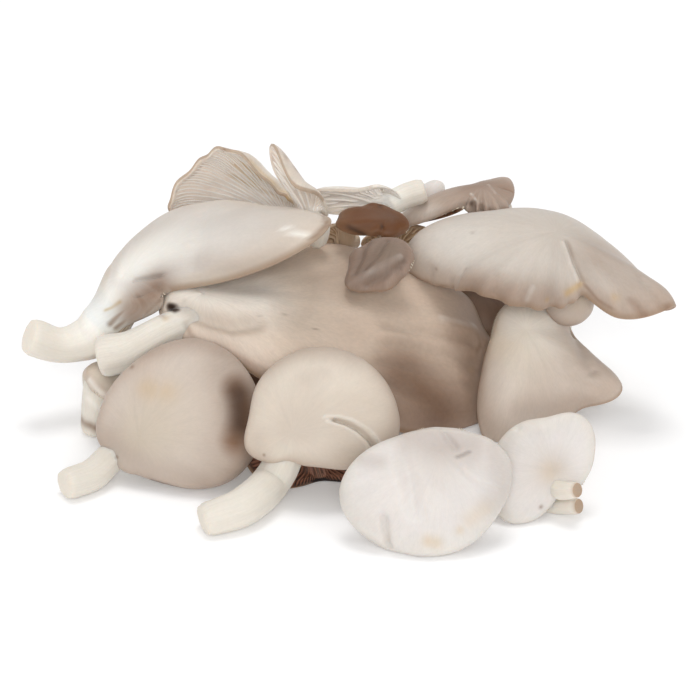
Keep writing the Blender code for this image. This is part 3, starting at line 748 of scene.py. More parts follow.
class Surface:
    """Material of a part of a mushroom."""

    KIND = ""
    SOFT_RADIUS = (1.0, 0.6, 0.4)

    def __init__(self, name: str, flesh: Flesh) -> None:
        """Starts the material.

        Args:
            name: The mushroom.
            flesh: Its colours.
        """
        self.flesh = flesh
        self.material = bpy.data.materials.new(name + self.KIND)
        self.material.use_nodes = True
        self.graph = Graph(self.material.node_tree)
        self.shader = self.material.node_tree.nodes["Principled BSDF"]
        self.place = self.graph.wire(self.graph.node("ShaderNodeTexCoord"), "Object")

    def soften(self, weight: float, scale: float) -> None:
        """Lets light into the flesh, to a depth of scale metres."""
        self.shader.inputs["Subsurface Weight"].default_value = weight
        self.shader.inputs["Subsurface Radius"].default_value = self.SOFT_RADIUS
        self.shader.inputs["Subsurface Scale"].default_value = scale


class FleshShader(Surface):
    """Material of one mushroom's skin, underside, stem and cut end, from the attributes on its mesh."""

    KIND = "_flesh"
    # Streaks along the fibres: stretch of the fibre coordinates, scale, detail, roughness of the noise.
    FINE = ((9.0, 9.0, 5.0), 7.0, 4.0, 0.6)
    BROAD = ((3.0, 3.0, 1.6), 3.0, 3.0, 0.5)
    STRIPES = ((4.0, 4.0, 1.2), 6.0, 4.0, 0.6)
    # Patches anywhere on the flesh: scale in metres, detail, roughness of the noise.
    PATCH, CLOUD, SPECK = (38.0, 3.0, 0.55), (24.0, 2.0, 0.5), (900.0, 2.0, 0.5)
    # What each layer of marks paints: its colour, and how much the broad streaks vary its strength.
    PAINTS = ((Layer.PALE, (0.93, 0.9, 0.84), 0.0), (Layer.OCHRE, (0.55, 0.36, 0.14), 0.6),
              (Layer.BROWN, (0.21, 0.118, 0.07), 0.4), (Layer.DARK, (0.045, 0.022, 0.012), 0.0))

    def build(self) -> bpy.types.Material:
        """Builds the material.

        Returns:
            The material.
        """
        flesh, graph, shader, place = self.flesh, self.graph, self.shader, self.place
        fibre = graph.attribute("fibre", "Vector")
        share, edge = graph.attribute("share"), graph.attribute("edge")
        stem, under, cut = graph.attribute("stem"), graph.attribute("under"), graph.attribute("cut")

        fine, broad, stripes = (graph.noise(graph.vector("MULTIPLY", fibre, stretch), *grain)
                                for stretch, *grain in (self.FINE, self.BROAD, self.STRIPES))
        patch, cloud, speck = (graph.noise(place, *grain) for grain in (self.PATCH, self.CLOUD, self.SPECK))

        colour = graph.mix(share.step(0.05, 0.6), flesh.centre, flesh.skin)
        colour = graph.mix(share.step(0.62, 1.0), colour, flesh.margin)
        colour = graph.mix(cloud.step(0.42, 0.72) * flesh.mottle, colour, flesh.tone)
        shade = (fine - 0.5) * flesh.streak + (broad - 0.5) * (flesh.streak * 0.8)
        shade = shade + (patch - 0.5) * flesh.mottle * 0.6 + (speck - 0.5) * 0.06
        colour = graph.mix(edge.step(flesh.edge_width * 2.2, 0.0) * flesh.edge_tint, colour, flesh.edge)
        # Painted shade: the underside between the gills takes the darker under colour.
        colour = graph.mix(under, colour, flesh.under)
        stalk = graph.mix((stripes - 0.45) * 1.2, flesh.stem, darker(flesh.stem, 0.9))
        colour = graph.mix(stem, colour, stalk)
        colour = graph.mix(cut * (patch * 0.6 + 0.5), colour, flesh.cut)
        for layer, paint, vary in self.PAINTS:
            strength = graph.attribute(layer.value)
            if vary:
                strength = strength * (broad * vary + (1 - vary / 2))
            colour = graph.mix(strength, colour, paint)
        graph.link(graph.scaled(colour, shade + 1.0), shader, "Base Color")

        graph.link((fine - 0.5) * 0.15 + flesh.rough + stem * 0.12 + cut * 0.15, shader, "Roughness")
        height = fine * 0.5 + speck * 0.25 + stem * stripes * 0.8
        bump = graph.node("ShaderNodeBump", {}, {"Height": height, "Strength": 0.25, "Distance": 0.4 * MM})
        graph.link(graph.wire(bump, "Normal"), shader, "Normal")
        self.soften(0.22, 3.0 * MM)
        shader.inputs["Specular IOR Level"].default_value = 0.35
        shader.inputs["Sheen Weight"].default_value = 0.08
        shader.inputs["Sheen Roughness"].default_value = 0.5
        return self.material


class GillShader(Surface):
    """Material of the gill blades, darker at the root than at the free edge as painted shade between the
    blades.
    """

    KIND = "_gills"
    PATCH = (60.0, 3.0, 0.5)  # scale, detail and roughness of its soft patches

    def build(self) -> bpy.types.Material:
        """Builds the material.

        Returns:
            The material.
        """
        graph = self.graph
        patch = graph.noise(self.place, *self.PATCH)
        # Painted shade: each blade runs from the dark under colour at its root to the gill colour at its free
        # edge.
        colour = graph.mix(graph.attribute("tip").step(-0.2, 1.0), self.flesh.under, self.flesh.gill)
        graph.link(graph.scaled(colour, (patch - 0.5) * 0.35 + 1.0), self.shader, "Base Color")
        graph.link(patch * 0.2 + 0.5, self.shader, "Roughness")
        self.soften(0.2, 2.0 * MM)
        return self.material


class GillTree:
    """Geometry node tree that grows the repeated gill blades from a guide's points."""

    ROWS = 20  # points along a blade
    CORNERS = 4  # points across it: root, free edge, free edge, root
    ROOTED = 0.3 * MM  # how deep its root sits in the flesh
    TAPER = 0.55  # how much thinner its free edge is

    def __init__(self) -> None:
        """Builds the tree with named inputs."""
        tree = bpy.data.node_groups.new("gill_blades", "GeometryNodeTree")
        face = tree.interface
        face.new_socket("Geometry", in_out="OUTPUT", socket_type="NodeSocketGeometry")
        for name, kind in (("Geometry", "NodeSocketGeometry"), ("Guide", "NodeSocketObject"),
                           ("Gills", "NodeSocketInt"), ("Rows", "NodeSocketInt"),
                           ("Thickness", "NodeSocketFloat"), ("Uneven", "NodeSocketFloat"),
                           ("Seed", "NodeSocketInt"), ("Material", "NodeSocketMaterial")):
            face.new_socket(name, in_out="INPUT", socket_type=kind)
        self.tree = tree
        self.graph = Graph(tree)
        self.lay_out()

    def sample(self, source: Wire, index: Wire, value: Wire, kind: str) -> Wire:
        """Reads a value of the guide at an index."""
        node = self.graph.node("GeometryNodeSampleIndex", {"data_type": kind, "domain": "POINT"},
                               {"Geometry": source, "Value": value, "Index": index})
        return self.graph.wire(node)

    def named(self, name: str, kind: str) -> Wire:
        """A named attribute as a field."""
        return self.graph.wire(self.graph.node("GeometryNodeInputNamedAttribute", {"data_type": kind},
                                               {"Name": name}))

    def store(self, geometry: Wire, name: str, value: Wire, kind: str, domain: str) -> Wire:
        """Stores a named attribute."""
        node = self.graph.node("GeometryNodeStoreNamedAttribute", {"data_type": kind, "domain": domain},
                               {"Geometry": geometry, "Name": name, "Value": value})
        return self.graph.wire(node)

    def lay_out(self) -> None:
        """Lays out a strip for each gill, makes the instances real and sets each point from the guide."""
        graph = self.graph
        given = graph.node("NodeGroupInput")

        def inlet(name: str) -> Wire:
            return graph.wire(given, name)

        guide = graph.wire(graph.node("GeometryNodeObjectInfo", {}, {"Object": inlet("Guide")}), "Geometry")
        strip = graph.wire(graph.node("GeometryNodeMeshGrid", {}, {"Vertices X": inlet("Rows"),
                                                                   "Vertices Y": self.CORNERS}), "Mesh")
        index = graph.wire(graph.node("GeometryNodeInputIndex"))
        strip = self.store(strip, "row", graph.maths("FLOOR", index / self.CORNERS), "INT", "POINT")
        strip = self.store(strip, "corner", graph.maths("MODULO", index, self.CORNERS), "INT", "POINT")
        spots = graph.wire(graph.node("GeometryNodePoints", {}, {"Count": inlet("Gills")}))
        blades = graph.wire(graph.node("GeometryNodeInstanceOnPoints", {}, {"Points": spots,
                                                                            "Instance": strip}))
        blades = self.store(blades, "gill", index, "INT", "INSTANCE")
        blades = graph.wire(graph.node("GeometryNodeRealizeInstances", {}, {"Geometry": blades}))

        gill, row, corner = (self.named(name, "INT") for name in ("gill", "row", "corner"))
        at = gill * inlet("Rows") + row
        root = self.sample(guide, at, graph.wire(graph.node("GeometryNodeInputPosition")), "FLOAT_VECTOR")
        outward, sideways = (self.sample(guide, at, self.named(name, "FLOAT_VECTOR"), "FLOAT_VECTOR")
                             for name in ("outward", "sideways"))
        rise, slim = (self.sample(guide, at, self.named(name, "FLOAT"), "FLOAT") for name in ("rise", "slim"))
        tip = graph.maths("COMPARE", corner, 1.5, 0.6)
        side = graph.maths("GREATER_THAN", corner, 1.5) * 2.0 - 1.0
        chance = graph.node("FunctionNodeRandomValue", {"data_type": "FLOAT"},
                            {"ID": gill, "Seed": inlet("Seed")})
        taller = (graph.wire(chance, 1) - 0.5) * inlet("Uneven") + 1.0
        height = tip * rise * taller - self.ROOTED
        width = side * inlet("Thickness") * slim * (1.0 - tip * self.TAPER) * 0.5
        place = graph.vector("ADD", root, graph.scaled(outward, height))
        place = graph.vector("ADD", place, graph.scaled(sideways, width))
        blades = graph.wire(graph.node("GeometryNodeSetPosition", {}, {"Geometry": blades,
                                                                       "Position": place}))
        blades = self.store(blades, "tip", tip, "FLOAT", "POINT")
        blades = graph.wire(graph.node("GeometryNodeSetMaterial", {}, {"Geometry": blades,
                                                                       "Material": inlet("Material")}))
        joined = graph.node("GeometryNodeJoinGeometry")
        graph.link(blades, joined, 0)
        graph.link(inlet("Geometry"), joined, 0)
        graph.link(graph.wire(joined), graph.node("NodeGroupOutput"), 0)

    def grow(self, body: bpy.types.Object, guide: bpy.types.Object, values: dict) -> bpy.types.Mesh:
        """Runs the tree on a body.

        Args:
            body: Object of the body without its gills.
            guide: Object of the guide's points.
            values: Values of the named inputs.

        Returns:
            A plain mesh of the body with its gills.
        """
        modifier = body.modifiers.new("gills", "NODES")
        modifier.node_group = self.tree
        names = {item.name: item.identifier for item in self.tree.interface.items_tree
                 if item.in_out == "INPUT"}
        for name, value in {"Guide": guide, "Rows": self.ROWS, **values}.items():
            modifier[names[name]] = value
        graph = bpy.context.evaluated_depsgraph_get()
        mesh = bpy.data.meshes.new_from_object(body.evaluated_get(graph), preserve_all_data_layers=True,
                                               depsgraph=graph)
        body.modifiers.remove(modifier)
        return mesh


class Grower:
    """Makes every fine mushroom and hands it to the frame."""

    BLADE_THICKNESS = 0.8 * MM
    BLADE_UNEVEN = 0.25  # spread of the blades' heights

    def __init__(self) -> None:
        """Builds the gill tree once for all of them."""
        self.tree = GillTree()

    def plant(self, shape: Mushroom, dress: Dress) -> bpy.types.Object:
        """Makes one mushroom.

        Args:
            shape: The CAD numbers.
            dress: What the mushroom has beyond them.

        Returns:
            The finished object, riding on the root.
        """
        shape.folds = [mark for mark in dress.marks if mark.thick and mark.height]
        shape.ruffles = list(dress.ruffles)
        sculpt = Sculpt(shape, dress)
        skin = FleshShader(shape.name, dress.flesh).build()
        gills = GillShader(shape.name, dress.flesh).build()
        mesh = sculpt.mesh()
        mesh.materials.append(skin)
        piece = bpy.data.objects.new(shape.name + "_fine", mesh)
        guide = bpy.data.objects.new(shape.name + "_guide", sculpt.guide(GillTree.ROWS))
        for thing in (piece, guide):
            bpy.context.scene.collection.objects.link(thing)
        grown = self.tree.grow(piece, guide, {"Gills": dress.blades, "Thickness": self.BLADE_THICKNESS,
                                              "Uneven": self.BLADE_UNEVEN, "Seed": dress.seed,
                                              "Material": gills})
        grown.materials.pop(index=1)  # an empty slot that the join leaves
        places = np.empty(len(grown.vertices) * 3)
        grown.vertices.foreach_get("co", places)
        places[2::3] = np.maximum(places[2::3], OFF_TABLE * MM)
        grown.vertices.foreach_set("co", places)
        piece.data = grown
        bpy.data.objects.remove(guide)
        grown.shade_smooth()
        for key in ("row", "corner", "gill"):
            if key in grown.attributes:
                grown.attributes.remove(grown.attributes[key])
        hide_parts(shape.name)
        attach(piece, "root")
        log.info("%s: %d points, %d faces", shape.name, len(grown.vertices), len(grown.polygons))
        return piece


class Studio:
    """Floor, light, sky and camera of the photograph."""

    ELEVATION = 28.0  # degrees that the camera looks down
    DISTANCE = 900.0  # millimetres from the camera to its target
    TARGET = (1.2, -1.7, 30.0)
    LENS, SENSOR = 144.64, 36.0
    FLOOR_SIDE, FLOOR_FRONT, FLOOR_BACK = 3.0, -2.0, 5.0
    FLOOR_DROP = 0.2 * MM  # keeps the floor from sharing a plane with what lies on it
    FLOOR_GLOW, SKY = 0.08, 0.69
    # Name, place, aim, side in metres, power in watts.
    LAMPS = (("key", (0.1, 0.7, 3.9), (0.0, 0.0, 0.0), 1.4, 42.0),
             ("front_fill", (0.0, -4.2, 2.3), (0.0, 0.0, 0.03), 1.5, 74.0))

    def floor(self) -> None:
        """A white table top."""
        mesh = bpy.data.meshes.new("table_top")
        side, front, back = self.FLOOR_SIDE, self.FLOOR_FRONT, self.FLOOR_BACK
        mesh.from_pydata([(-side, front, 0), (side, front, 0), (side, back, 0), (-side, back, 0)], [],
                         [(0, 1, 2, 3)])
        material = bpy.data.materials.new("table_white")
        material.use_nodes = True
        shader = material.node_tree.nodes["Principled BSDF"]
        shader.inputs["Base Color"].default_value = (0.93, 0.93, 0.935, 1.0)
        shader.inputs["Roughness"].default_value = 0.7
        shader.inputs["Emission Color"].default_value = (1.0, 1.0, 1.0, 1.0)
        shader.inputs["Emission Strength"].default_value = self.FLOOR_GLOW
        mesh.materials.append(material)
        table = bpy.data.objects.new("table_top", mesh)
        table.location.z = -self.FLOOR_DROP
        bpy.context.scene.collection.objects.link(table)

    def lamp(self, name: str, place: tuple, aim: tuple, size: float, power: float) -> None:
        """A soft square light.

        Args:
            name: Its name.
            place: Where it hangs, in metres.
            aim: What it points at.
            size: Its side.
            power: Its power in watts.
        """
        light = bpy.data.lights.new(name, "AREA")
        light.shape = "SQUARE"
        light.size = size
        light.energy = power
        lamp = bpy.data.objects.new(name, light)
        lamp.location = place
        way = np.array(aim) - np.array(place)
        lamp.rotation_euler = Vector(way.tolist()).to_track_quat("-Z", "Y").to_euler()
        bpy.context.scene.collection.objects.link(lamp)

    def sky(self) -> None:
        """An even white surrounding."""
        world = bpy.data.worlds.new("white_room")
        world.use_nodes = True
        back = world.node_tree.nodes["Background"]
        back.inputs["Color"].default_value = (1.0, 1.0, 1.0, 1.0)
        back.inputs["Strength"].default_value = self.SKY
        bpy.context.scene.world = world

    def camera(self) -> None:
        """The camera at the photograph's place."""
        angle = np.radians(self.ELEVATION)
        ahead = np.array([0.0, np.cos(angle), -np.sin(angle)])
        data = bpy.data.cameras.new("camera")
        data.sensor_width = self.SENSOR
        data.lens = self.LENS
        data.clip_start = 0.05
        eye = bpy.data.objects.new("camera", data)
        eye.location = ((np.array(self.TARGET) - ahead * self.DISTANCE) * MM).tolist()
        eye.rotation_euler = (np.radians(90.0 - self.ELEVATION), 0.0, 0.0)
        bpy.context.scene.collection.objects.link(eye)
        bpy.context.scene.camera = eye

    def build(self) -> None:
        """Sets up the whole studio."""
        self.floor()
        self.sky()
        for lamp in self.LAMPS:
            self.lamp(*lamp)
        self.camera()
        bpy.context.scene.view_settings.view_transform = "Standard"


WHITE = Flesh(skin=(0.7, 0.66, 0.63), centre=(0.65, 0.6, 0.56), margin=(0.7, 0.66, 0.61), edge_tint=0.15,
              streak=0.14, mottle=0.22, tone=(0.6, 0.52, 0.46), rough=0.45, cut=(0.36, 0.24, 0.15))
CREAM = Flesh(skin=(0.67, 0.59, 0.5), centre=(0.58, 0.5, 0.42), margin=(0.55, 0.45, 0.37), streak=0.14,
              mottle=0.3, tone=(0.5, 0.4, 0.32), rough=0.45)
PALE = Flesh(skin=(0.63, 0.58, 0.53), centre=(0.84, 0.81, 0.75), margin=(0.6, 0.52, 0.44), streak=0.12,
             mottle=0.3, edge_width=1.5, edge_tint=0.6, tone=(0.5, 0.42, 0.35), rough=0.62,
             under=(0.3, 0.2, 0.13), gill=(0.62, 0.5, 0.38))
BEIGE = Flesh(skin=(0.57, 0.49, 0.42), centre=(0.56, 0.48, 0.39), margin=(0.43, 0.34, 0.28), streak=0.16,
              mottle=0.4)
TAN = Flesh(skin=(0.56, 0.5, 0.44), centre=(0.53, 0.47, 0.41), margin=(0.45, 0.35, 0.28), streak=0.2,
            mottle=0.35, edge_width=1.3, edge_tint=0.5)
WARM = Flesh(skin=(0.71, 0.63, 0.55), centre=(0.76, 0.67, 0.56), margin=(0.56, 0.46, 0.38), streak=0.2,
             mottle=0.35, edge_width=1.0, edge_tint=0.5)
GREY_BROWN = Flesh(skin=(0.62, 0.5, 0.4), centre=(0.68, 0.57, 0.46), margin=(0.48, 0.35, 0.27), streak=0.28,
                   mottle=0.35, edge_width=1.3, edge_tint=0.8, tone=(0.38, 0.27, 0.2))
DARK = Flesh(skin=(0.4, 0.31, 0.25), centre=(0.36, 0.28, 0.23), margin=(0.44, 0.35, 0.29), streak=0.3,
             mottle=0.3)
DUSK = Flesh(skin=(0.23, 0.16, 0.12), centre=(0.2, 0.14, 0.1), margin=(0.3, 0.21, 0.16), streak=0.35,
             mottle=0.4)
OLIVE = Flesh(skin=(0.13, 0.045, 0.01), centre=(0.12, 0.05, 0.02), margin=(0.2, 0.1, 0.05), streak=0.3,
              mottle=0.4, tone=(0.28, 0.18, 0.09))
# Painted shade: near-black brown flesh for mushrooms that lie in deep shade under and inside the heap.
PAINTED_SHADE = Flesh(skin=(0.2, 0.12, 0.08), centre=(0.17, 0.1, 0.07), margin=(0.24, 0.15, 0.1),
              under=(0.14, 0.065, 0.04), gill=(0.33, 0.15, 0.095), stem=(0.3, 0.18, 0.12),
              cut=(0.3, 0.2, 0.12))
FAN = Flesh(skin=(0.66, 0.57, 0.48), centre=(0.66, 0.57, 0.48), margin=(0.7, 0.62, 0.53),
            under=(0.88, 0.77, 0.67), gill=(0.96, 0.9, 0.83), edge_tint=0.6)
RUST = Flesh(skin=(0.6, 0.42, 0.28), centre=(0.6, 0.42, 0.28), margin=(0.66, 0.5, 0.36),
             under=(0.5, 0.33, 0.2), gill=(0.7, 0.52, 0.36), stem=(0.6, 0.45, 0.32), edge_tint=0.5)

DRESSES: dict[str, Dress] = {
    "front_left": Dress(BEIGE, "grey_beige_skin", blades=110, seed=3),
    "front_middle": Dress(CREAM, "cream_skin", blades=110, grain=0.55, seed=4),
    "front_white": Dress(WHITE, "white_skin", blades=110, seed=5, uneven=0.6),
    "front_right": Dress(WHITE, "white_skin", blades=70, seed=6, grain=0.7, uneven=0.5),
    "sprig": Dress(WHITE, "cream_skin", blades=32, seed=7, grain=0.5),
    "right": Dress(WARM, "tan_skin", blades=120, seed=8),
    "upper_right": Dress(TAN, "tan_skin", blades=150, seed=9, ruffles=((15, 125, 6, 0.9, 0),)),
    "under_right": Dress(BEIGE, "grey_beige_skin", blades=60, seed=10, grain=0.7),
    "centre_fan": Dress(GREY_BROWN, "grey_brown_skin", blades=170, seed=11, ruffles=((318, 405, 7, 0.9, 0),)),
    "centre_lobe": Dress(DUSK, "grey_brown_skin", blades=56, seed=12, grain=0.6,
                         ruffles=((300, 440, 3, 0.9, 0),)),
    "upper_left": Dress(PALE, "cream_skin", blades=140, seed=13),
    "left_stub": Dress(CREAM, "cream_skin", blades=48, seed=14, grain=0.6),
    # Painted shade: a mushroom lying gills up under the front ones, in dark flesh that stands for the shade
    # there.
    "under_front": Dress(PAINTED_SHADE, "shaded_gills", blades=90, seed=15),
    "back_fan": Dress(FAN, "pale_gills", blades=190, blade_rise=0.27, seed=16,
                      ruffles=((330, 430, 7, 0.5, 0),)),
    "back_lobe": Dress(FAN, "pale_gills", blades=72, blade_rise=0.4, seed=17, grain=0.6),
    "back_middle": Dress(FAN, "pale_gills", blades=64, blade_rise=0.45, seed=18, grain=0.6),
    "back_folded": Dress(OLIVE, "olive_brown_skin", blades=48, seed=19, grain=0.5,
                         ruffles=((300, 420, 4, 0.7, 0),)),
    "back_gilled": Dress(RUST, "pale_gills", blades=48, blade_rise=0.6, seed=20, grain=0.5),
    "back_white": Dress(WHITE, "white_skin", blades=36, seed=21, grain=0.5),
    "back_under": Dress(RUST, "pale_gills", blades=48, blade_rise=0.6, seed=23, grain=0.6),
    "dark_curled": Dress(DARK, "grey_brown_skin", blades=72, seed=22, grain=0.6,
                         ruffles=((30, 170, 6, 0.8, 0),)),
    # Painted shade: two dark mushrooms that fill shaded gaps inside the heap.
    "inner_left": Dress(PAINTED_SHADE, "grey_brown_skin", blades=56, seed=24),
    "inner_right": Dress(PAINTED_SHADE, "grey_brown_skin", blades=64, seed=25),
}
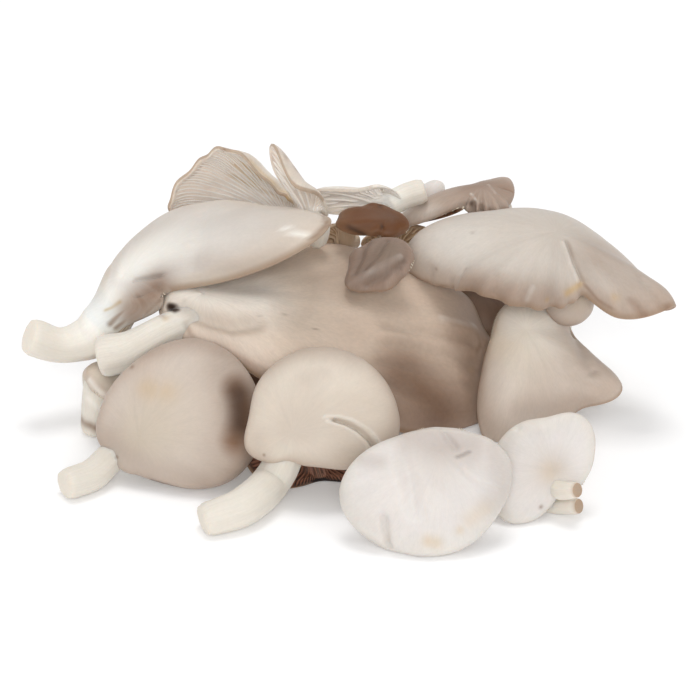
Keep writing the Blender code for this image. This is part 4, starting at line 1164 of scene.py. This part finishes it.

# Marks by mushroom: half width, height, strength of the colour, then the points of the path. Some are painted
# shade or painted light, as noted at each mushroom.
MARKS: dict[str, tuple] = {
    "front_left": (
        # Partly real brown colour and partly painted shade: the brown and dark bands down the right side.
        # Painted shade: the broad soft browns along the bottom and the top back.
        brown(5.5, 0, 1, (-35.7, -23, 28.8), (-34.1, -25.5, 25.8), (-33.4, -28.1, 23), (-34, -31.5, 19.9),
              (-36.1, -35.6, 16.5)),
        dark(4.4, 0, 0.78, (-35, -24.3, 27.3), (-34.3, -31.2, 20.4)),
        brown(8, 0, 0.3, (-40.1, -20, 32.8), (-38.1, -25.5, 27.7), (-37.4, -31.2, 21.9), (-41, -38.5, 14.6)),
        brown(5, 0, 0.25, (-74.5, -30.1, 14.1), (-62.5, -37, 6.5), (-46.6, -41.2, 6.8)),
        brown(4, 0, 0.25, (-62.9, -13.4, 36.4), (-50.3, -13.1, 38.8), (-40.2, -14.9, 35.8)),
        dark(1.8, 0, 0.5, (-36.2, -29, 23.5)),
        brown(0.8, 0, 0.7, (-73, -32.6, 9.4)),
        ochre(3.2, 0, 0.3, (-63.5, -23.9, 29.3), (-62.2, -24.7, 29)),
        ochre(3.5, 0, 0.25, (-57.4, -26.1, 29)),
        dark(0.8, 0, 0.7, (-62, -36.5, 3.3), (-56.8, -37.6, 2.3), (-50.1, -38, 1)),
        brown(0.8, 0, 0.7, (-68.5, -16.6, 32.8)),
    ),
    "front_middle": (
        # Painted shade: the dark line in the slit between its pale lips.
        dark(0.6, -2, 0.8, (-4.6, -41.7, 27.8), (-0.6, -41.8, 26.5), (3.1, -42.2, 24.2), (6.5, -42.7, 20.6),
             (8.6, -43.4, 16.3)),
        # Painted shade: the broad soft browns on its right side, lower left, bottom and top.
        brown(5, 0, 0.25, (9.8, -21.3, 32.3), (14.6, -27.1, 24.9), (13, -38.5, 18.9)),
        brown(4, 0, 0.2, (-28.4, -42, 20.9), (-27.2, -44, 14.9)),
        brown(4, 0, 0.22, (-15.4, -48.1, 16.6), (-3.1, -47.8, 17.9), (3.7, -45.2, 18.5)),
        brown(6, 0, 0.25, (-24.1, -20.7, 35.6), (-15.6, -19.4, 39.6), (-1.6, -20.5, 39.5)),
        pale(0.5, 0.6, 0.7, (-7.7, -41.5, 28.7), (-3.1, -40.8, 28.4), (0.6, -40.7, 27.2), (3.7, -41, 25.3),
             (6.8, -41.4, 22.7), (9.3, -41.8, 19.4), (10.8, -41.5, 16)),
        pale(0.5, 0.5, 0.6, (-7.1, -42.3, 27.8), (-1.5, -42.6, 25.9), (1.8, -42.9, 23.9), (4.3, -43.4, 21.4),
             (6.2, -44.4, 17.7)),
        # Painted shade: a broad soft brown near the top.
        brown(4, 0, 0.16, (-13, -31.1, 36.7), (-8.7, -29, 37.7)),
        brown(0.7, 0, 0.7, (-26.5, -44.5, 17)),
        brown(0.5, 0, 0.6, (10.5, -21.1, 31.3)),
    ),
    "front_white": (
        # Painted shade: the brown in the cleft.
        brown(1, -2, 0.3, (10.2, -73.2, 11.8), (10.8, -74.4, 7.6), (11.8, -74.2, 2.2), thick=True),
        # Painted shade: the broad soft browns on its top and right side.
        brown(6, 0, 0.3, (18.1, -58.8, 32), (27.1, -60.1, 31.3), (36.1, -61.5, 30.3)),
        brown(5, 0, 0.2, (42.7, -61.3, 28.5), (46.1, -65.6, 20.6), (44.5, -69.1, 15.7)),
        bare(2.5, -1.2, (15, -62.8, 29.4), (18, -68.9, 22.5), (19.5, -73.8, 15)),
        ochre(3, 0, 0.2, (36, -74.1, 11.7), (40.5, -71.3, 14.2)),
        # Painted shade: the brown in the groove and the dark in the crack.
        brown(1.3, -1.3, 0.25, (27.2, -56.5, 33.4), (29.5, -59.8, 31.8), (31.6, -61.9, 29.9)),
        dark(0.5, -0.6, 0.55, (32.1, -64, 27.6), (33.9, -63.7, 28.1), (35.8, -63, 28.8)),
        bare(1.6, 0.9, (34.5, -66.4, 24.5), (39, -67.6, 21.8), (44.2, -67.4, 19.2)),
        ochre(2.2, 0, 0.35, (23.4, -77.4, 6.3), (25.8, -77.5, 5.7)),
        ochre(1.6, 0, 0.3, (33, -75.6, 9.1)),
        brown(2.5, 0, 0.2, (3.6, -61.8, 25.3), (9, -64.5, 26.2)),
    ),
    "front_right": (
        ochre(4, 0, 0.25, (61.3, -50.6, 14.5)),
        brown(0.7, 0, 0.7, (58.6, -55.9, 5.2)),
        bare(1, -0.8, (51.4, -43.8, 27.6), (51.2, -45, 26.9)),
    ),
    "right": (
        ochre(6, 0, 0.22, (46.1, 13.8, 28.2), (48.5, 9.1, 27)),
        brown(0.6, -0.5, 0.4, (75.2, 6.1, 16.8), (79.5, 7.3, 18)),
        brown(2.5, -1.2, 0.2, (73.6, 19.8, 25), (76.2, 9, 21.6), (78.5, 7.1, 18.2)),
        bare(5, 2, (72.9, 6.4, 18.5), (79.5, 6, 15), (83.1, 6.5, 14)),
        # Painted shade: the broad soft browns on the lower left, the bottom and the lobe at the right.
        brown(6, 0, 0.25, (43.4, 8.8, 21.6), (43.9, -1.1, 12.3), (45.8, -4.9, 7.1)),
        brown(5, 0, 0.25, (54.8, -3.6, 10.7), (68, 1.7, 8.9), (78.1, 5.9, 8.4)),
        brown(6, 0, 0.22, (76.2, 6.7, 18.4), (81.8, 6.1, 13.5)),
        # Painted light: the broad pale mark on the top, where the cap above casts shade.
        pale(8, 0, 0.4, (53.5, 13.6, 31.6), (63.3, 14.1, 29.9)),
    ),
    "upper_right": (
        brown(0.7, -0.9, 0.5, (69.7, 18.9, 59.2), (71.6, 12.8, 55.1), (74.1, 9.2, 50.4)),
        pale(0.7, 0.6, 0.5, (68.4, 18.4, 59.1), (70.3, 12.1, 55.1), (72.8, 8.7, 50.3)),
        ochre(1.2, 0, 0.6, (69.2, 5.7, 47.5), (73.5, 8.4, 49.4)),
        ochre(1, 0, 0.5, (62.7, 3.1, 46.4)),
        brown(0.7, 0, 0.55, (20.4, 31.9, 41.1), (28.3, 25, 40.5), (39.3, 8.2, 47), (47.7, 2.6, 47.4),
              (54.9, 0.9, 47.5)),
        pale(0.7, -0.4, 0.8, (56.5, 1, 47.1), (57.1, 1.7, 49.2), (58.1, 3.1, 51)),
        brown(0.5, 0, 0.6, (39.8, 26.1, 59.3)),
        brown(0.5, 0, 0.6, (37, 16.1, 50.9)),
        brown(0.5, 0, 0.6, (28.2, 23.9, 47.1)),
        brown(0.7, 0, 0.5, (74.8, 8.6, 49.3), (79.2, 5.8, 45), (83.9, 3.4, 43)),
        brown(0.7, 0, 0.5, (94, 1.8, 41), (101.5, 17.8, 35), (104.1, 7, 43.1)),
        ochre(1.5, 0, 0.4, (84.4, 4.1, 46.9)),
        brown(1.6, -0.8, 0.5, (89.1, 3.1, 46.4), (91, 2.3, 44.6), (94, 1.8, 40.9)),
        brown(1, -0.8, 0.25, (92.5, 8.2, 52), (96.1, 4.2, 48.7), (99.4, 2.6, 43.8)),
        brown(1.8, 0, 0.5, (101, 3.1, 43.5)),
        bare(1.4, -0.8, (79.2, 12.1, 55.4), (84.4, 6.3, 50.1), (86.6, 3, 44.7)),
        pale(11, 0, 0.3, (24.4, 30, 51.7), (34, 24.7, 55)),
        brown(6, 0, 0.42, (38.4, 9.5, 48.2), (50.8, 2, 49.4), (63.6, 4, 48.1)),
        brown(9, 0, 0.38, (79.4, 15.4, 57.3), (89.9, 8.4, 52.6)),
        bare(1.4, -0.7, (26, 25.7, 46.5), (25.5, 26.6, 41.7)),
        bare(1.4, -0.7, (36, 15.9, 49.9), (34.8, 14.4, 45.3)),
        bare(1.4, -0.7, (46.2, 7.1, 52.9), (45.2, 4.1, 48.3)),
    ),
    "centre_fan": (
        # Painted shade: the dark hole in the rolled end.
        dark(1.7, -2.2, 1, (-57.3, 6.3, 42.2), (-55.9, 4.2, 42.2), sharp=2.5),
        ochre(1, 0, 0.6, (-58.2, -0.3, 41.7)),
        brown(0.6, 0, 0.5, (-60.1, 24.9, 43.7), (-62.4, 19, 41.1), (-62.1, 13.3, 39.8), (-59.5, -0.4, 41.7)),
        brown(1.2, -0.9, 0.25, (-60.1, 17.1, 44.3), (-56, 15.1, 46), (-53.1, 7, 44.4)),
        brown(1, 0, 0.4, (-52.2, 0.5, 39.8), (-50.9, -2.1, 36.9), (-47.7, -4.2, 35.1)),
        # Painted shade: the brown in the valley under the rolled ridge.
        brown(3, -3, 0.22, (-53, 3.9, 42), (-43, 1.1, 40.2), (-36.6, -0.5, 39.3), (-30.3, 1.1, 39.5),
              thick=True),
        bare(5.5, 3, (-55.1, 9.8, 45.1), (-46.5, 9, 44.1), (-36.8, 7.4, 43.1), (-28.2, 7.1, 42.2),
             thick=True),
        # Painted light: the broad pale marks on the left, where the cap above casts shade.
        pale(10, 0, 0.65, (-51.3, 10.7, 45.4), (-30.5, 9.8, 43.7)),
        pale(8, 0, 0.15, (-47.7, -2.8, 36.9), (-31.7, -5.8, 34.9)),
        # Painted shade: the broad soft browns in the middle and at the back.
        brown(9, 0, 0.2, (0, 5.2, 34.5), (16.1, 2, 25.3), (25.9, 8.7, 25.4)),
        brown(5, 0, 0.3, (-1.6, 30.7, 46.2), (-6.5, 20.8, 44.6), (0, 14.6, 40.5)),
        dark(0.4, -0.4, 0.35, (-28.7, 3.4, 40.5), (-24.9, 4.3, 40.4)),
        dark(0.4, -0.4, 0.35, (-22.4, 4.7, 40.2), (-19.8, 5.1, 40)),
        dark(0.45, 0, 0.4, (-11.2, 2.4, 36.3)),
        dark(0.45, 0, 0.4, (-11.8, -0.5, 34.6)),
        brown(0.9, 0, 0.75, (40.9, 21.3, 25.3), (42.2, 18.3, 22.1), (40.8, 13.5, 19.1), (42.8, 12.7, 15.1),
              (42.1, 9.7, 11.9), (38, 3.5, 6.8), (33, -1.1, 3.8)),
        ochre(1, 0, 0.5, (39.7, 10.7, 17)),
        # Painted highlight: the pale raised line near the right rim.
        pale(0.8, 0.3, 0.7, (29.3, 18.1, 31.8), (35.9, 20.2, 29.2), (41, 23.5, 26.1)),
        # Painted shade: the brown in the fold valleys.
        brown(1.4, -1.2, 0.3, (11.3, 9.7, 34), (25.9, 12.8, 29.4), (39.8, 17.6, 24.3), thick=True),
        brown(1.5, -1.3, 0.3, (11.3, 4.8, 30), (25.9, 8.4, 25.2), (40.4, 13.3, 19.3), thick=True),
        brown(1.6, -1.4, 0.35, (9.6, -1.2, 26.3), (24.2, 2.3, 20.4), (40.4, 8.1, 12.4), thick=True),
        brown(1.4, -1.2, 0.4, (7, -6.3, 23.2), (19.2, -5.1, 17.1), (34.3, 0.3, 7.1), thick=True),
        brown(0.7, -0.6, 0.3, (16.1, 9.9, 32), (29.2, 13.4, 28.4), (40.6, 20.5, 25.4)),
        brown(0.7, -0.6, 0.3, (16.1, 4.2, 27), (29.1, 7.6, 22.3), (40.4, 11.1, 16.7)),
        brown(0.7, -0.6, 0.3, (14.4, -1.9, 23), (29, 1, 15.6), (37.3, 4.1, 10.2)),
        # Painted shade: the broad brown and dark at the lower right and along the right rim.
        brown(12, 0, 0.95, (17.7, -1.6, 21.4), (24.1, -3.1, 15.3), (29, -3.1, 9)),
        brown(8, 0, 0.5, (36.5, 15.9, 26), (39.7, 12.3, 19), (39.7, 7, 11.5), (34, -0.1, 6.6)),
        dark(12, 0, 0.2, (17.6, -3.6, 19.6), (25.7, -3.6, 13), (31, -1.9, 8.3)),
        bare(2, 0.8, (11.3, 7, 31.8), (25.9, 10.3, 27.1), (38.4, 13.6, 22)),
    ),
    "centre_lobe": (
        pale(0.9, 0.8, 0.25, (16.1, 17.9, 54.4), (6.4, 15.1, 50.4), (0, 15.3, 45.9)),
        dark(1.4, -1.3, 0.12, (5.2, 26.6, 55.1), (3.2, 20.5, 52.7), (1.3, 17.1, 49.4), thick=True),
        dark(1.4, -1.2, 0.12, (11.3, 24.6, 57.2), (8.4, 19.6, 54.6), (4.5, 16.7, 51), thick=True),
        dark(1.2, -1, 0.15, (17.7, 16.8, 53.1), (11.2, 13.3, 49.8), (5.1, 12.7, 46.5)),
    ),
    "upper_left": (
        # Painted shade: the brown grooves and the broad brown in the gill hollow under the cap.
        brown(1.2, -1.5, 0.8, (-77, 6.1, 36.2), (-67.8, 7.8, 45.4), (-61.3, 7.6, 49.1)),
        brown(1.2, -1.5, 0.8, (-75.1, 6, 34.8), (-66.2, 6.5, 43.2), (-60.7, 6.8, 47.3)),
        brown(1.2, -1.5, 0.8, (-72.8, 8.5, 32.4), (-64.6, 5.5, 41.2), (-60.7, 6.2, 44.8)),
        brown(6.5, 0, 0.8, (-69.8, 6.2, 40.5), (-61.6, 7.5, 48.8)),
        dark(0.8, -1, 0.5, (-69.4, 13.4, 48.4), (-64, 11.2, 50.5), (-60.4, 9.7, 52)),
        pale(7.5, 0, 0.95, (-82.9, 8.1, 36.6), (-77.3, 12.7, 41.5)),
        pale(0.9, -0.4, 0.7, (-20.9, 8.5, 69.2), (-17.1, 6.8, 68.2), (-13.6, 6.5, 67)),
        brown(1, -0.6, 0.7, (-9.8, 22.3, 67.6), (-7.3, 12.4, 68.7)),
        brown(0.7, 0, 0.6, (-7.9, 11.2, 68.6), (-11.7, 6.9, 66.8)),
        # Painted shade: a broad soft brown on the front right of the cap.
        brown(4, 0, 0.2, (-47.6, 6.4, 58.2), (-34.8, 2.4, 58.1), (-22.1, 3, 62)),
        ochre(0.8, 0, 0.6, (-73.8, 9.9, 42.2), (-78.5, 10.1, 39.2)),
        bare(3, -0.9, (-47, 30.3, 63.4), (-47.8, 13.7, 62.4), (-48.9, 6.2, 57.3)),
    ),
    "left_stub": (
        pale(1, 0.5, 0.5, (-83.6, -1.1, 19.7), (-80.1, -5.6, 17.7), (-75, -6, 15.8)),
        pale(1, 0.5, 0.5, (-84.3, -2.9, 14), (-80.5, -4.3, 11.1)),
        brown(1.6, 0, 0.8, (-86.8, -1.3, 5), (-83.6, -4.2, 4.5), (-80.8, -4.1, 2.9)),
    ),
    "back_fan": (
        brown(0.5, 0, 0.7, (-54.9, 52.4, 64.3), (-48.5, 54, 70.5), (-40.8, 47.1, 79.3), (-36.2, 49.2, 77.9)),
        dark(0.6, 0, 0.7, (-57.1, 50.4, 63.1)),
        brown(0.7, 0, 0.6, (-60.2, 49.5, 56.5)),
        ochre(1.3, -1.3, 0.8, (-37.9, 53.1, 73.4), (-29.8, 55.7, 65), (-20.8, 46.7, 61.5)),
        ochre(0.9, -0.9, 0.7, (-39.5, 57.7, 65.2), (-36, 58.4, 62.7), (-32, 58.8, 60.3)),
        ochre(0.9, -1, 0.6, (-38.7, 55, 70.7), (-29.3, 58.6, 59.3), (-19.3, 56.3, 54.8)),
        ochre(0.9, -0.9, 0.6, (-32.7, 46.3, 75.7), (-24.6, 46.9, 66.8), (-18.2, 49.5, 58.8)),
        pale(1, 0.5, 0.6, (-34.3, 51.6, 75.7), (-29.1, 51.5, 71.5), (-23.4, 53.5, 64.2)),
    ),
    "back_lobe": (
        brown(0.7, 0, 0.7, (-22.4, 28.4, 86.5), (-15.4, 32, 76), (-11.1, 28.9, 73.5)),
        brown(0.5, 0, 0.5, (-25.5, 35.3, 82.4), (-22.1, 39.1, 71.1)),
    ),
    "back_middle": (
        brown(0.6, 0, 0.6, (9.7, 50.5, 65), (10.6, 50.1, 63.2)),
        # Painted light: the broad pale mark over the gills, which lie in shade.
        pale(6, 0, 0.8, (-8.3, 51, 60.2), (0, 51.6, 59.6), (9.3, 50.1, 59.5)),
        brown(0.5, -0.6, 0.5, (-9.9, 50.7, 60), (-5, 51.3, 60.5), (0, 50.7, 61.4)),
        brown(0.5, -0.6, 0.5, (-9.3, 51.6, 57.8), (-4, 52.3, 57.8), (0.7, 52.1, 58.3)),
    ),
    "back_folded": (
        dark(0.9, 0, 0.8, (-4.4, 40.9, 57.6), (0, 34, 57.3), (4.6, 33, 55)),
        dark(0.6, -0.6, 0.7, (9.8, 42, 61.5), (10.4, 32.5, 57.7)),
    ),
    "dark_curled": (
        dark(1.1, 0, 0.8, (17.4, 54, 48.6), (27.1, 65.8, 44.4), (35.7, 64.2, 48.9), (40, 49.1, 58.9)),
        pale(0.4, 0.3, 0.5, (40, 51.1, 61.3), (42.3, 48.5, 59.2)),
        pale(0.4, 0.3, 0.5, (45.8, 54.8, 62.9), (48, 51.4, 61.5)),
        brown(0.7, -0.4, 0.7, (49.8, 54.6, 62.2), (54.1, 54.8, 60.3)),
        pale(4, 0, 0.3, (16.6, 60, 49.2), (26.5, 50.1, 55.2)),
        brown(5, 0, 0.45, (39.8, 55.4, 62.2), (46.5, 55.5, 62.9), (53.1, 54.7, 61.1)),
    ),
}

# The mushrooms as in the CAD solids; a ray is (angle, reach, droop) or (angle, reach, lift, droop, roll).
HEAP: list[Mushroom] = [
    Mushroom("front_left", hub=(-66.1, -31.6, 16.3), lean=58, lean_to=-110, heading=49, lift=11, roll=53,
             rays=[(0, 44.9, 63), (40, 27.8, 41), (80, 19.5, 33), (120, 17.3, 39), (150, 14, 42),
                   (180, 15, 55), (210, 15, 55), (240, 21.1, 60), (280, 37.4, 49), (320, 47.8, 73)],
             stem=[(-75.1, -28.6, 6.9, 4.8), (-80.8, -35.5, 4.6, 5), (-88.8, -41.5, 4.5, 5)],
             stem_top=4.4, flare=1.5, neck=2, collar=4),
    Mushroom("front_middle", hub=(-17.7, -44, 24.6), lean=53, lean_to=-101, heading=70, lift=3, roll=44,
             rays=[(0, 39.3, 60), (40, 31, 60), (80, 21.3, 56), (120, 19.1, 42), (150, 14.4, 45),
                   (180, 10, 41), (210, 11.3, 35), (240, 16.8, 35), (280, 38, 59), (320, 42.3, 63)],
             stem=[(-23.9, -42, 6.9, 6), (-32.5, -56, 5.6, 6), (-44.8, -62, 3.9, 5.3)],
             stem_top=5.2, flare=1.5, neck=2, collar=4),
    Mushroom("front_white", hub=(27.2, -62, 28.5), lean=54, lean_to=-90, heading=-84, lift=18, roll=46,
             rays=[(0, 34.4, 50), (40, 29.2, 57), (75, 25.6, 61), (120, 11.4, 42), (180, 7.8, 43),
                   (240, 14.9, 54), (285, 37.5, 56), (320, 38.5, 56)],
             stem=[(30.6, -40, 13.9, 5), (32.7, -28, 2.1, 5)],
             stem_top=5),
    Mushroom("front_right", hub=(62.8, -50, 14.5), lean=64, lean_to=-85, heading=132, lift=19, roll=34,
             rays=[(0, 19.3, 33), (50, 21.6, 46), (100, 22.1, 34), (150, 9.4, 55), (200, 9.1, 21),
                   (250, 13.4, 26), (290, 20, 39), (330, 17.3, 18)],
             stem=[(64, -52, 9.2, 3), (69.4, -57, 11.9, 2.6)],
             stem_top=3.5),
    Mushroom("sprig", hub=(62.6, -46.3, 4.5), lean=30, lean_to=0, heading=175, lift=9, roll=29,
             rays=[(0, 4.3, 23), (90, 4.2, 26), (180, 5.6, 34), (270, 4.2, 32)],
             stem=[(64.9, -50.3, 2.1, 2.6), (70.3, -54.4, 4.6, 2.6)],
             stem_top=2.6),
    Mushroom("right", hub=(56.9, 13.4, 30.6), lean=44, lean_to=-75, heading=-97, lift=8, roll=34,
             rays=[(0, 44.3, 50), (30, 38.3, 55), (54, 35.2, 48), (74, 38.3, 8, 28, 12),
                   (90, 27.2, 8, 42, 30), (106, 21.1, 50), (150, 17.1, 45), (200, 14.1, 45), (250, 11.1, 50),
                   (290, 12.1, 50), (325, 21.1, 50)],
             stem=[(57.3, 31.5, 10.3, 6), (54.7, 37.5, -0.1, 6), (54.8, 37.5, -4.2, 6)],
             stem_top=6.5),
    Mushroom("upper_right", hub=(66.7, 23, 60.8), lean=16, lean_to=-65, heading=166, lift=3, roll=37,
             rays=[(0, 59.6, 56), (25, 45.5, 65), (50, 36.2, 42), (80, 31.9, 40), (105, 28.3, 60),
                   (122, 26.8, 58), (133, 24.8, 52), (145, 36.8, 40), (165, 45.8, 18), (185, 46, 64),
                   (215, 25.9, 59), (270, 24, 58), (330, 33.3, 49)],
             stem=[(68.4, 34.9, 43.4, 7), (67.9, 46.8, 23, 7), (68.7, 56.8, -0.8, 7)],
             stem_top=7.5),
    Mushroom("under_right", hub=(75.5, 17.5, 40.4), lean=49, lean_to=-68, heading=-72, lift=-13, roll=17,
             rays=[(0, 12.3, 71), (60, 12, 84), (120, 9.7, 69), (180, 9.7, 79), (240, 13, 36),
                   (300, 13.7, 55)],
             stem=[(70, 33, 24, 3.4), (66, 34, 4, 3.4)],
             stem_top=4),
    Mushroom("centre_fan", hub=(-47.5, 8.4, 43.8), lean=23, lean_to=-73, heading=5, lift=7, roll=32,
             rays=[(0, 104.6, 30), (20, 86.5, 26), (45, 50.3, 34), (70, 36.2, 43), (100, 29.2, 56),
                   (140, 22.6, 12, 80, 32), (172, 19.1, 22, 105, 32), (190, 18.6, 22, 110, 32),
                   (212, 15.1, 10, 80, 32), (235, 16.6, 60), (260, 17.6, 45), (290, 21.1, 35),
                   (310, 39.2, 34), (328, 73.4, 38), (345, 106.6, 43)],
             stem=[(-60.6, -0.4, 36, 5.5), (-70.2, -1.4, 30.7, 6.2), (-80, -1.4, 28.2, 7)],
             stem_top=6, flesh=(6, 1.4)),
    Mushroom("centre_lobe", hub=(13.6, 21.2, 56.3), lean=27, lean_to=-105, heading=-145, lift=2, roll=25,
             rays=[(0, 19.6, 35), (35, 15.7, 40), (70, 11.8, 40), (110, 7.9, 40), (180, 5.9, 40),
                   (250, 6.9, 40), (300, 12.8, 40), (335, 17.7, 35)],
             stem=[(13.5, 28, 47.5, 3.2), (13, 31, 45, 3.2)],
             stem_top=3.4),
    Mushroom("upper_left", hub=(-73.2, 19.2, 47), lean=32, lean_to=-148, heading=-6, lift=14, roll=10,
             rays=[(0, 72.1, 14, 38, 22), (25, 61.2, 14, 54, 44), (60, 38.4, 14, 46, 44),
                   (100, 18.2, 14, 45, 34), (140, 8.1, 26), (200, 7.6, 30), (245, 9.1, 34),
                   (280, 11.1, 14, 34, 14), (305, 16.1, 14, 34, 34), (332, 26.2, 14, 34, 44)],
             stem=[(-79, 14, 32.8, 8.2), (-85, 13, 27.5, 7), (-94, 11, 26, 5.8), (-103.5, 8, 30.9, 6.2)],
             stem_top=8, flare=10, neck=0.5, collar=17),
    Mushroom("left_stub", hub=(-77.9, 4, 20.4), lean=24, lean_to=0, heading=-9, lift=2, roll=27,
             rays=[(0, 11.8, 32), (60, 9.6, 32), (120, 8.6, 29), (180, 8.1, 50), (240, 8.3, 43),
                   (300, 12.8, 37)],
             stem=[(-80.3, 2, 14.9, 6), (-83.1, 0, -0.3, 4.5)],
             stem_top=5.5),
    Mushroom("under_front", hub=(-11.2, -20.3, -0.4), lean=157, lean_to=92, heading=-98, lift=-1, roll=17,
             rays=[(0, 24, 4), (60, 19.5, 26), (120, 21, 14), (180, 11.4, 33), (240, 21.5, 30),
                   (300, 24.9, 23)],
             stem=[(-14.3, -18.3, 6.7, 5), (-14, -12.3, 13.9, 5)],
             stem_top=5),
    Mushroom("back_fan", hub=(-19.1, 65.6, 47.8), lean=82, lean_to=68, heading=-155, lift=-18, roll=25,
             rays=[(0, 42, 14), (25, 42.5, 15), (45, 30.7, 35), (62, 24.5, 41), (85, 14.7, 33), (130, 9, 2),
                   (180, 7.7, 28), (230, 8.2, 40), (275, 12.1, 45), (305, 26.6, 20), (335, 46.8, 37)],
             stem=[(-11.5, 67.6, 36.2, 5), (-8.1, 73.7, 12.3, 5), (-9.3, 75.7, -0.8, 5)],
             stem_top=5, flare=2, neck=2, collar=5),
    Mushroom("back_lobe", hub=(-11.5, 37.9, 63), lean=71, lean_to=68, heading=-131, lift=4, roll=24,
             rays=[(0, 29.4, 11), (20, 25.2, 62), (50, 10.4, 37), (110, 5.6, 36), (180, 4.4, 50),
                   (250, 6.3, 13), (310, 8.7, -9), (340, 20.4, -2)],
             stem=[(-10.1, 32, 58.7, 3.5), (-11.1, 36, 51.3, 3.5)],
             stem_top=3, flare=1.5, neck=2, collar=4),
    Mushroom("back_middle", hub=(12.5, 54.7, 58.2), lean=75, lean_to=75, heading=-174, lift=-7, roll=16,
             rays=[(0, 27.6, 31), (22, 14.9, 45), (55, 9.7, 29), (110, 6.7, 27), (180, 5.6, 28),
                   (250, 4.5, 27), (305, 6.8, 28), (338, 24, 26)],
             stem=[(18.7, 53.7, 59.4, 4.2), (24.7, 54.7, 61.1, 4.2)],
             stem_top=4.2, flare=2, neck=2, collar=4.5),
    Mushroom("back_folded", hub=(14.5, 35.4, 60.1), lean=26, lean_to=-70, heading=180, lift=-3, roll=36,
             rays=[(0, 20.3, 24), (35, 10.1, 45), (80, 7.5, 50), (130, 5.4, 50), (180, 7.2, 51),
                   (230, 5, 30), (280, 6.8, 33), (325, 17.5, 42)],
             stem=[(12.6, 45, 52.5, 3.4), (12.7, 52, 46.2, 3.4)],
             stem_top=4, flare=2, neck=2, collar=4.5),
    Mushroom("back_gilled", hub=(-2.4, 54.3, 45.9), lean=74, lean_to=92, heading=-153, lift=-3, roll=19,
             rays=[(0, 12.8, 49), (30, 9.2, 41), (70, 5.2, 29), (130, 3.5, 24), (180, 3.7, 22), (230, 5, 0),
                   (290, 7.1, 18), (330, 12.9, 26)],
             stem=[(0.3, 60.3, 39.7, 3.2), (-1, 66.4, 35, 3.2)],
             stem_top=3.2, flare=2, neck=2, collar=4.5),
    Mushroom("back_under", hub=(16.2, 69.5, 36.4), lean=68, lean_to=88, heading=0, lift=4, roll=24,
             rays=[(0, 18.2, 30), (45, 9.1, 30), (90, 6.1, 30), (135, 8.1, 30), (180, 13.1, 30),
                   (235, 7.1, 30), (270, 8.1, 30), (315, 14.2, 30)],
             stem=[(12.1, 71.5, 25.3, 3.5), (10.6, 75, 12, 3.6), (10.2, 76.5, -0.8, 3.8)],
             stem_top=3.2, flare=2, neck=2, collar=4.5),
    Mushroom("back_white", hub=(26.1, 67.7, 54), lean=53, lean_to=-97, heading=-81, lift=2, roll=46,
             rays=[(0, 5.3, 56), (60, 5.8, 53), (120, 6.8, 30), (180, 6.7, 92), (240, 6.2, 67),
                   (300, 9.5, 67)],
             stem=[(27.9, 69.7, 44.9, 3.1), (27.2, 71.8, 46.9, 3.1)],
             stem_top=3),
    Mushroom("dark_curled", hub=(43.8, 54.1, 62.9), lean=6, lean_to=-114, heading=172, lift=-6, roll=32,
             rays=[(0, 36.5, 40), (40, 11.6, 29), (85, 8, 46), (135, 11.6, 46), (180, 11.4, 25),
                   (225, 11.9, -5), (270, 15.1, 40), (315, 20.8, 83)],
             stem=[(48.9, 54, 55.2, 4.6), (50.4, 60, 45.3, 4.4)],
             stem_top=5),
    # Painted shade: two dark fillers in shaded gaps inside the heap.
    Mushroom("inner_left", hub=(-31, 15, 17.5), lean=25, lean_to=-90, heading=-90, lift=4, roll=34,
             rays=[(0, 15, 50), (60, 15, 50), (120, 13, 45), (180, 10, 45), (240, 13, 45), (300, 15, 50)],
             stem=[(-31, 22, 6, 5), (-31, 28, -0.8, 5)],
             stem_top=5),
    Mushroom("inner_right", hub=(44, 50, 27), lean=25, lean_to=-95, heading=-90, lift=4, roll=34,
             rays=[(0, 19, 50), (60, 18, 50), (120, 14, 45), (180, 10, 45), (240, 14, 45), (300, 18, 50)],
             stem=[(42, 58, 12, 5.5), (38, 62, -0.8, 5.5)],
             stem_top=5.5),
]


def main() -> None:
    """Loads the frame, plants the mushrooms and sets up the studio."""
    logging.basicConfig(level=logging.INFO, format="%(message)s")
    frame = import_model()
    log.info("nodes in the frame: %d", len(frame["nodes"]))
    grower = Grower()
    for shape in HEAP:
        grower.plant(shape, replace(DRESSES[shape.name], marks=MARKS.get(shape.name, ())))
    Studio().build()


if __name__ == "__main__":
    main()
